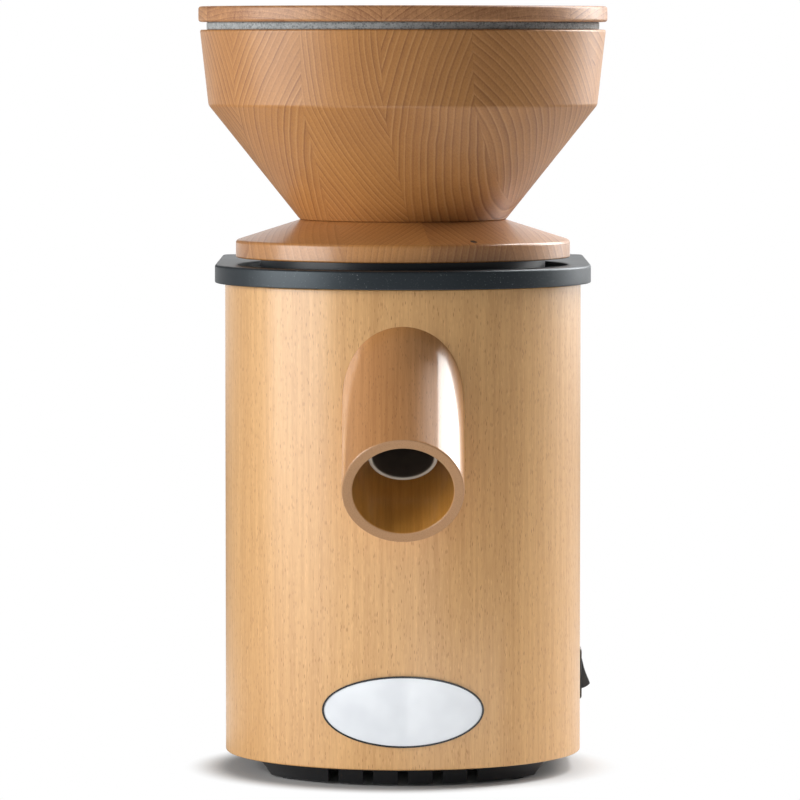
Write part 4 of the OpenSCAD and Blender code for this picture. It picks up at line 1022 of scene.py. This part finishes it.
class MILL_OT_spout(bpy.types.Operator):
    """Build the slanted wooden spout and the flour pipe inside it"""

    bl_idname = "mill.spout"
    bl_label = "Spout"

    def execute(self, context):
        tube = lathe(
            [(SPOUT_BORE, -70), (SPOUT_RADIUS, -70), (SPOUT_RADIUS, 110), (SPOUT_BORE, 110)], steps=160
        )
        moved(tube, SPOUT_FRAME)
        centre = SPOUT_FRAME @ Vector((0, 0, SPOUT_LENGTH))
        outwards = Vector((0, -math.cos(SPOUT_CUT), -math.sin(SPOUT_CUT)))
        self.cut(tube, centre, outwards)
        self.cut(tube, Vector((0, 3.0 - CAVITY_RADIUS, 0)), Vector((0, 1, 0)))
        sealed(tube)
        end = sharp_edges(tube, 0.4, lambda co: abs((co - centre).dot(outwards)) < 1e-3)
        round_edges(tube, end, shape_mm("wood_edge"), 3)
        piece("flour_spout", tube, "spout_beech", "root", ["spout_tube"])
        end_z = SPOUT_LENGTH - 21.5
        bore, radius, collar = PIPE_BORE, PIPE_RADIUS, PIPE_COLLAR
        outline = [(bore, -14), (radius, -14), (radius, 10), (collar, 10), (collar, 12.5), (radius, 12.5)]
        outline += [(radius, end_z), (bore, end_z)]
        pipe = lathe(outline, {6: 0.7, 7: 1.1, 3: 0.4, 4: 0.4}, steps=128)
        moved(pipe, SPOUT_FRAME)
        piece("flour_pipe", pipe, "pipe", "root", ["outlet_liner"])
        return {"FINISHED"}

    @staticmethod
    def cut(bm, point, normal):
        """Cut a tube off at a plane and close the wall's end"""
        everything = bm.verts[:] + bm.edges[:] + bm.faces[:]
        cut = bmesh.ops.bisect_plane(bm, geom=everything, plane_co=point, plane_no=normal, clear_outer=True)
        bmesh.ops.bridge_loops(bm, edges=picked(cut["geom_cut"], BMEdge))


class MILL_OT_hopper(bpy.types.Operator):
    """Turn the hopper's bowl and the wide flange below it"""

    bl_idname = "mill.hopper"
    bl_label = "Hopper"

    def execute(self, context):
        edge = shape_mm("bowl_edge")
        low, top = BOWL_LOW.z, BOWL_HIGH.z
        kink = low + 56.8
        outer = [(FEED_BORE, low), (51.4, low), (96.8, kink), (BOWL_HIGH.x, top)]
        inner = [(90.5, top), (87.0, kink), (FEED_BORE, low + 4.5)]
        bowl = lathe(outer + inner, {1: 0.7, 2: 0.9, 3: edge, 4: edge, 5: 3.0, 6: 1.5})
        piece("hopper_cup", bowl, "bowl_beech", "hopper", ["hopper_bowl"])
        base, neck = FLANGE_LOW.z, FLANGE_HIGH.z
        radius = FLANGE_HIGH.x
        outline = [(FEED_BORE, base), (radius, base), (radius, base + FLANGE_EDGE)]
        outline += [(NECK_RADIUS, neck), (FEED_BORE, neck)]
        flange = lathe(outline, {1: 0.8, 2: 1.3, 3: 0.8})
        slope = math.atan2(neck - base - FLANGE_EDGE, radius - NECK_RADIUS)
        flange = carve(flange, self.dot_seat(slope))
        piece("hopper_flange", flange, "flange_beech", "hopper", ["hopper_base"])
        dress("dot_black", "setting_dot")
        dress("white_plastic", "feed_tube", "finger_guard")
        dress("zinc", "ring_screws", "hopper_screws")
        return {"FINISHED"}

    @staticmethod
    def dot_seat(slope):
        """A short rod that clears the flange above the setting dot"""
        low, high = node_box("setting_dot")
        middle = (low + high) / 2
        turn = Matrix.Rotation(math.atan2(middle.y, middle.x), 4, "Z") @ Matrix.Rotation(slope, 4, "Y")
        return moved(rod(DOT_RADIUS + FIT, -0.9, 4), Matrix.Translation(middle) @ turn)


class MILL_OT_lid(bpy.types.Operator):
    """Turn the lid and cut its felt ring"""

    bl_idname = "mill.lid"
    bl_label = "Lid"

    def execute(self, context):
        edge = shape_mm("lid_edge")
        boss, under, top = LID_LOW.z, FELT_HIGH.z, LID_HIGH.z
        plug, radius = FELT_BORE - FIT, LID_HIGH.x
        outline = [(0, boss), (plug, boss), (plug, under), (radius, under), (radius, top), (0, top)]
        lid = lathe(outline, {1: 1.0, 3: edge, 4: edge})
        piece("lid_board", lid, "lid_beech", "lid", ["lid_disc"])
        bore, radius, base = FELT_BORE, FELT_HIGH.x, FELT_LOW.z
        felt = lathe([(bore, base), (radius, base), (radius, under), (bore, under)], {1: 0.8, 2: 0.8})
        piece("lid_felt", felt, "felt", "lid", ["lid_felt_ring"])
        return {"FINISHED"}


class MILL_OT_base(bpy.types.Operator):
    """Build the black base with its tapered skirt, air slots and rubber feet"""

    bl_idname = "mill.base"
    bl_label = "Base"

    def execute(self, context):
        low, high = node_box("base_tray")
        body_low = BODY_LOW.z
        tray = raised(body_plan(82.65, PANEL_FRONT - 0.05), body_low, high.z)
        skirt = self.skirt(low.z, body_low, 0.0)
        round_edges(skirt, level_edges(skirt, low.z), 1.0, 3)
        tray = carve(tray, skirt, operation="UNION")
        tray = carve(tray, self.skirt(low.z - 1.0, body_low, SKIRT_WALL))
        feet = self.feet()
        tray = carve(tray, together(*self.air_holes(low.z, body_low, high.z)))
        bosses = [shifted(rod(10.0, 3.05, body_low + 0.5), x, y) for x, y in feet]
        tray = carve(tray, together(*bosses), operation="UNION")
        piece("base_tub", tray, "gloss_black", "root", ["base_tray"])
        radius, tall, hole = FOOT_RADIUS, 3.0, 2.5
        outline = [(hole, 0.6), (3.4, 0), (radius, 0), (radius, tall), (hole, tall)]
        rubbers = [shifted(lathe(outline, {2: 0.9, 3: 0.3}, steps=64), x, y) for x, y in feet]
        piece("foot_pads", together(*rubbers), "rubber", "root", ["rubber_feet"])
        dress("zinc", "base_screws")
        return {"FINISHED"}

    @staticmethod
    def air_holes(z_low, z_joint, z_high):
        """Two rings of holes under the motor, and slots through the skirt's front and sides"""
        holes = []
        for count, reach, radius in ((10, 24, 4.0), (5, 10, 3.0)):
            for i in range(count):
                turn = math.radians(i * 360 / count)
                hole = rod(radius, z_joint - 1, z_high + 1)
                holes.append(shifted(hole, reach * math.cos(turn), reach * math.sin(turn)))
        spacing, half = 17, 2.5
        low, high = z_low - 1, z_joint - 1.1
        for i in range(-2, 3):
            holes.append(block((i * spacing - half, -90, low), (i * spacing + half, -48, high)))
        for i in range(-1, 4):
            for left, right in ((-76, -60.5), (60.5, 76)):
                holes.append(block((left, i * spacing - half, low), (right, i * spacing + half, high)))
        return holes

    @staticmethod
    def skirt(z_low, z_high, inset):
        """A solid with a bowed front that narrows downwards"""
        flare = SKIRT_FLARE * (z_high - z_low) / SKIRT_HEIGHT
        side_x, back_y = SKIRT_SIDE - inset, SKIRT_BACK - inset
        bm = body_plan(SKIRT_RADIUS - inset, back_y, 0.0, 96)
        for side in (-1, 1):
            bmesh.ops.bisect_plane(
                bm,
                geom=bm.verts[:] + bm.edges[:],
                plane_co=(side * side_x, 0, 0),
                plane_no=(side, 0, 0),
                clear_outer=True,
            )
        for side in (-1, 1):
            bm.edges.new([v for v in bm.verts if len(v.link_edges) == 1 and v.co.x * side > 0])
        corners = [v for v in bm.verts if -60 < v.co.y < 0 and abs(abs(v.co.x) - side_x) < 1e-3]
        round_corner(bm, corners, 7.0 - inset / 2, 6)
        round_corner(bm, [v for v in bm.verts if v.co.y > 90], 6.0, 6)
        prism = raised(bm, z_low, z_high)
        for v in prism.verts:
            if abs(v.co.z - z_low) < 1e-4:
                v.co.x *= 1 - flare / SKIRT_SIDE
                v.co.y = back_y - (back_y - v.co.y) * (1 - flare / SKIRT_DEPTH)
        return prism

    @staticmethod
    def feet():
        low, high = node_box("rubber_feet")
        near, far = low.y + FOOT_RADIUS, high.y - FOOT_RADIUS
        return [(x, y) for x in (low.x + FOOT_RADIUS, high.x - FOOT_RADIUS) for y in (near, far)]


class MILL_OT_switch(bpy.types.Operator):
    """Build the rocker switch on the right side"""

    bl_idname = "mill.switch"
    bl_label = "Switch"

    def execute(self, context):
        pin = SWITCH_PIN
        side = Matrix.Translation(pin)
        bezel = block((-1.0, -9.5, -13.0), (BEZEL_FACE, 9.5, 13.0))
        upright = [e for e in bezel.edges if abs(e.verts[0].co.x - e.verts[1].co.x) > 1]
        round_edges(bezel, upright, 1.8, 4)
        outer = sharp_edges(bezel, 0.3, lambda co: abs(co.x - BEZEL_FACE) < 1e-4)
        round_edges(bezel, outer, BEZEL_EDGE, 4)
        case = block((-24.0, -8.3, -11.2), (-0.5, 8.3, 11.2))
        housing = carve(bezel, case, operation="UNION")
        half, reach = 6.8, 8.2
        well = moved(rod(reach, -half, half, 96), Matrix.Rotation(math.pi / 2, 4, "X"))
        mouth = block((0, -half, -reach), (5, half, reach))
        housing = carve(housing, well, mouth)
        piece("switch_frame", moved(housing, side), "switch_black", "root", ["switch_housing"])
        piece("switch_key", moved(self.rocker(), side), "switch_black", "rocker", ["switch_rocker"])
        dress("brass", "switch_terminals")
        return {"FINISHED"}

    @staticmethod
    def rocker():
        """A key with a round back and a slightly hollow face, tilted about its pin"""
        bm = bmesh.new()
        reach = math.radians(59.1)
        start = bm.verts.new((KEY_RADIUS * math.cos(reach), 0, KEY_RADIUS * math.sin(reach)))
        turn = 2 * reach - FULL_TURN
        bmesh.ops.spin(
            bm, geom=[start], cent=(0, 0, 0), axis=(0, 1, 0), angle=turn, steps=48, use_merge=False
        )
        ends = [v for v in bm.verts if len(v.link_edges) == 1]
        valley = bm.verts.new((3.4, 0, 0))
        for end in ends:
            bm.edges.new((end, valley))
        round_corner(bm, [valley], 3.0, 8)
        round_corner(bm, ends, 0.5, 3)
        faces = bmesh.ops.edgeloop_fill(bm, edges=bm.edges[:])["faces"]
        grown = bmesh.ops.extrude_face_region(bm, geom=faces)["geom"]
        bmesh.ops.translate(bm, vec=(0, 2 * KEY_HALF, 0), verts=picked(grown, BMVert))
        bmesh.ops.translate(bm, vec=(0, -KEY_HALF, 0), verts=bm.verts)
        sealed(bm)
        rims = []
        for y in (-KEY_HALF, KEY_HALF):
            rims += sharp_edges(bm, 1.0, lambda co: abs(co.y - y) < 1e-4)
        round_edges(bm, rims, 0.45, 3)
        return moved(bm, Matrix.Rotation(math.radians(-18), 4, "Y"))


class MILL_OT_badge(bpy.types.Operator):
    """Build the blank oval badge and its black rim, bent round the front"""

    bl_idname = "mill.badge"
    bl_label = "Badge"

    def execute(self, context):
        rim = Vector((0.9, 0.9))
        outer, inner = BADGE_SIZE / 2, BADGE_SIZE / 2 - rim
        plate = carve(self.sheet(0.77), self.oval(*inner), operation="INTERSECT")
        round_edges(plate, self.front_edges(plate, BODY_RADIUS + 0.8), 0.25, 2)
        piece("badge_face", plate, "enamel", "root", ["badge_plate"])
        ring = carve(self.sheet(1.07), self.oval(*outer), operation="INTERSECT")
        ring = carve(ring, self.oval(*inner))
        round_edges(ring, self.front_edges(ring, BODY_RADIUS + 1.1), 0.3, 3)
        piece("badge_border", ring, "badge_black", "root", ["badge_rim"])
        return {"FINISHED"}

    @staticmethod
    def sheet(thickness):
        """Part of a thin upright cylinder round the front"""
        low, high = BADGE_LEVEL - 22, BADGE_LEVEL + 22
        radius = BODY_RADIUS + 0.03
        outer = radius + thickness
        bm, _ = wire([(radius, low), (outer, low), (outer, high), (radius, high)])
        faces = bmesh.ops.edgeloop_fill(bm, edges=bm.edges[:])["faces"]
        start, angle = Matrix.Rotation(math.radians(-125), 3, "Z"), math.radians(70)
        bmesh.ops.rotate(bm, cent=(0, 0, 0), matrix=start, verts=bm.verts)
        bmesh.ops.spin(
            bm, geom=faces, cent=(0, 0, 0), axis=(0, 0, 1), angle=angle, steps=84, use_duplicate=False
        )
        return sealed(bm)

    @staticmethod
    def oval(half_wide, half_tall):
        """An upright oval that runs through the front wall"""
        bm = bmesh.new()
        bmesh.ops.create_circle(bm, cap_ends=False, radius=1, segments=144)
        bmesh.ops.scale(bm, vec=(half_wide, half_tall, 1), verts=bm.verts)
        raised(bm, -20, 20)
        middle = Matrix.Translation((0, -BODY_RADIUS + 8, BADGE_LEVEL))
        return moved(bm, middle @ Matrix.Rotation(math.pi / 2, 4, "X"))

    @staticmethod
    def front_edges(bm, radius):
        """Sharp edges on the outer face"""
        return sharp_edges(bm, 0.9, lambda co: abs(math.hypot(co.x, co.y) - radius) < 0.03)


# Finish of each inner node
INNER_NODES = {
    "white_plastic": "grinding_chamber terminal_block",
    "zinc": "chamber_screws motor_mount_screws motor_tie_bolts backlash_springs hub_nut stone_screws",
    "rubber": "shaft_seal",
    "cast": "motor_upper_shield motor_lower_shield lower_stone_hub upper_stone_carrier rotor_end_rings"
    " run_capacitor",
    "stack": "stator_core rotor_core",
    "copper": "stator_windings",
    "bearing": "bearing_outer_rings bearing_inner_rings bearing_balls",
    "shaft": "motor_shaft",
    "stone": "lower_stone upper_stone",
    "black_plastic": "capacitor_clamp cable_gland cooling_fan",
}


class MILL_OT_works(bpy.types.Operator):
    """Give the motor, stones, chamber and wiring parts their finishes"""

    bl_idname = "mill.works"
    bl_label = "Works"

    def execute(self, context):
        for finish, nodes in INNER_NODES.items():
            dress(finish, *nodes.split())
        return {"FINISHED"}


# Soft rectangular lamps: name, place, aim, size in metres and power
LAMPS = [
    ("left_softbox", (-1.74, -0.60, 0.55), (0, 0, 0.26), (1.5, 1.1), 33.5),
    ("right_strip", (1.25, 0.85, 0.86), (0, 0, 0.26), (0.95, 1.1), 29),
    ("right_low", (1.10, 0.95, 0.42), (0, 0, 0.26), (0.7, 0.5), 1.5),
    ("right_high", (0.80, 0.56, 1.50), (0, 0, 0.28), (0.4, 0.4), 15),
    ("table_bounce", (-0.10, -0.42, 0.012), (0, -0.0887, 0.16), (0.7, 0.25), 0.75),
    ("right_bounce", (0.13, -0.20, 0.008), (0.07, -0.05, 0.06), (0.26, 0.10), 0.10),
]


class MILL_OT_stage(bpy.types.Operator):
    """Set the pale floor, the soft lamps, the world and the camera"""

    bl_idname = "mill.stage"
    bl_label = "Stage"

    def execute(self, context):
        self.floor()
        self.world(context.scene)
        for lamp in LAMPS:
            self.lamp(*lamp)
        self.camera(context.scene)
        return {"FINISHED"}

    @staticmethod
    def lamp(name, place, aim, size, power):
        """A soft rectangular lamp that faces a point"""
        lamp = bpy.data.lights.new(name, "AREA")
        lamp.shape = "RECTANGLE"
        lamp.size, lamp.size_y = size
        lamp.energy = power
        made = bpy.data.objects.new(name, lamp)
        made.location = place
        made.rotation_euler = (Vector(aim) - Vector(place)).to_track_quat("-Z", "Y").to_euler()
        bpy.context.scene.collection.objects.link(made)

    @staticmethod
    def floor():
        """A wide floor that is white to the camera away from the mill and keeps its shadow"""
        bm = bmesh.new()
        bmesh.ops.create_grid(bm, x_segments=2, y_segments=2, size=30)
        mesh = bpy.data.meshes.new("floor")
        bm.to_mesh(mesh)
        bm.free()
        floor = bpy.data.objects.new("floor", mesh)
        bpy.context.scene.collection.objects.link(floor)
        m = Recipe("floor_white")
        place = m.place()
        x, y, _ = m.parts(place)
        reach = m.vector("LENGTH", m.point(x, y, 0.0))
        near, far = m.ramp(reach, 86.0, 110.0), m.ramp(reach, 2000.0, 4000.0)
        grit = m.noise(m.scaled(place, 1 / 3.0), 3.0, 0.6)
        path = m.node("LightPath")
        camera, glossy, through = (
            path.output(f"Is {kind} Ray") for kind in ("Camera", "Glossy", "Transmission")
        )
        share = m.maths("MAXIMUM", camera * near, m.maths("MAXIMUM", glossy, through) * far)
        tone = m.mix(m.ramp(reach, 250.0, 900.0), (0.62, 0.62, 0.62, 1), (0.3, 0.3, 0.3, 1))
        matt = m.node("BsdfDiffuse", sockets={0: m.mix(0.04 * grit, tone, (0.7, 0.7, 0.7, 1))})
        white = m.node("Emission", sockets={0: (1, 1, 1, 1), 1: 1.0})
        mesh.materials.append(m.finish(m.node("MixShader", sockets={0: share, 1: matt, 2: white})))

    @staticmethod
    def world(scene):
        """White to the camera and behind glass, elsewhere bright only towards the back right"""
        m = Recipe("studio", "worlds")
        path = m.node("LightPath")
        seen = m.maths("MAXIMUM", path.output("Is Camera Ray"), path.output("Is Transmission Ray"))
        facing = m.vector("DOT_PRODUCT", m.node("TexCoord"), (0.35, 1.0, 0.35))
        sweep = m.ramp(facing, 0.92, 0.99, 0.2)
        strength = m.node("Mix", {"data_type": "FLOAT"}, {0: seen, 2: sweep, 3: 1.0})
        light = m.node("Background", sockets={0: (1, 1, 1, 1), 1: strength})
        scene.world = m.finish(light, "OutputWorld")
        scene.view_settings.view_transform = "Standard"

    @staticmethod
    def camera(scene):
        data = bpy.data.cameras.new("camera")
        data.sensor_width = 36
        data.lens = 257.4
        data.clip_end = 100
        made = bpy.data.objects.new("camera", data)
        made.location = (-0.00145, -2.853, 0.365)
        made.rotation_euler = (math.radians(90 - 3.63), 0, 0)
        scene.collection.objects.link(made)
        scene.camera = made


class MILL_PT_panel(bpy.types.Panel):
    """Sizes, colours and building steps of the mill"""

    bl_idname = "MILL_PT_panel"
    bl_label = "Grain Mill"
    bl_space_type = "VIEW_3D"
    bl_region_type = "UI"
    bl_category = "Mill"

    def draw(self, context):
        layout = self.layout
        for group in (context.scene.mill_shape, context.scene.mill_finish):
            column = layout.column(align=True)
            for name in group.__annotations__:
                column.prop(group, name)
        column = layout.column(align=True)
        for step in STEPS:
            column.operator(step.bl_idname)


STEPS = (
    MILL_OT_stage,
    MILL_OT_body,
    MILL_OT_back_panel,
    MILL_OT_top_plate,
    MILL_OT_spout,
    MILL_OT_hopper,
    MILL_OT_lid,
    MILL_OT_base,
    MILL_OT_switch,
    MILL_OT_badge,
    MILL_OT_works,
)
CLASSES = (MillShape, MillFinish, *STEPS, MILL_PT_panel)


def register():
    for cls in CLASSES:
        bpy.utils.register_class(cls)
    bpy.types.Scene.mill_shape = PointerProperty(type=MillShape)
    bpy.types.Scene.mill_finish = PointerProperty(type=MillFinish)


def unregister():
    del bpy.types.Scene.mill_finish
    del bpy.types.Scene.mill_shape
    for cls in reversed(CLASSES):
        bpy.utils.unregister_class(cls)


def main():
    register()
    for step in STEPS:
        group, name = step.bl_idname.split(".")
        getattr(getattr(bpy.ops, group), name)()


if __name__ == "__main__":
    main()
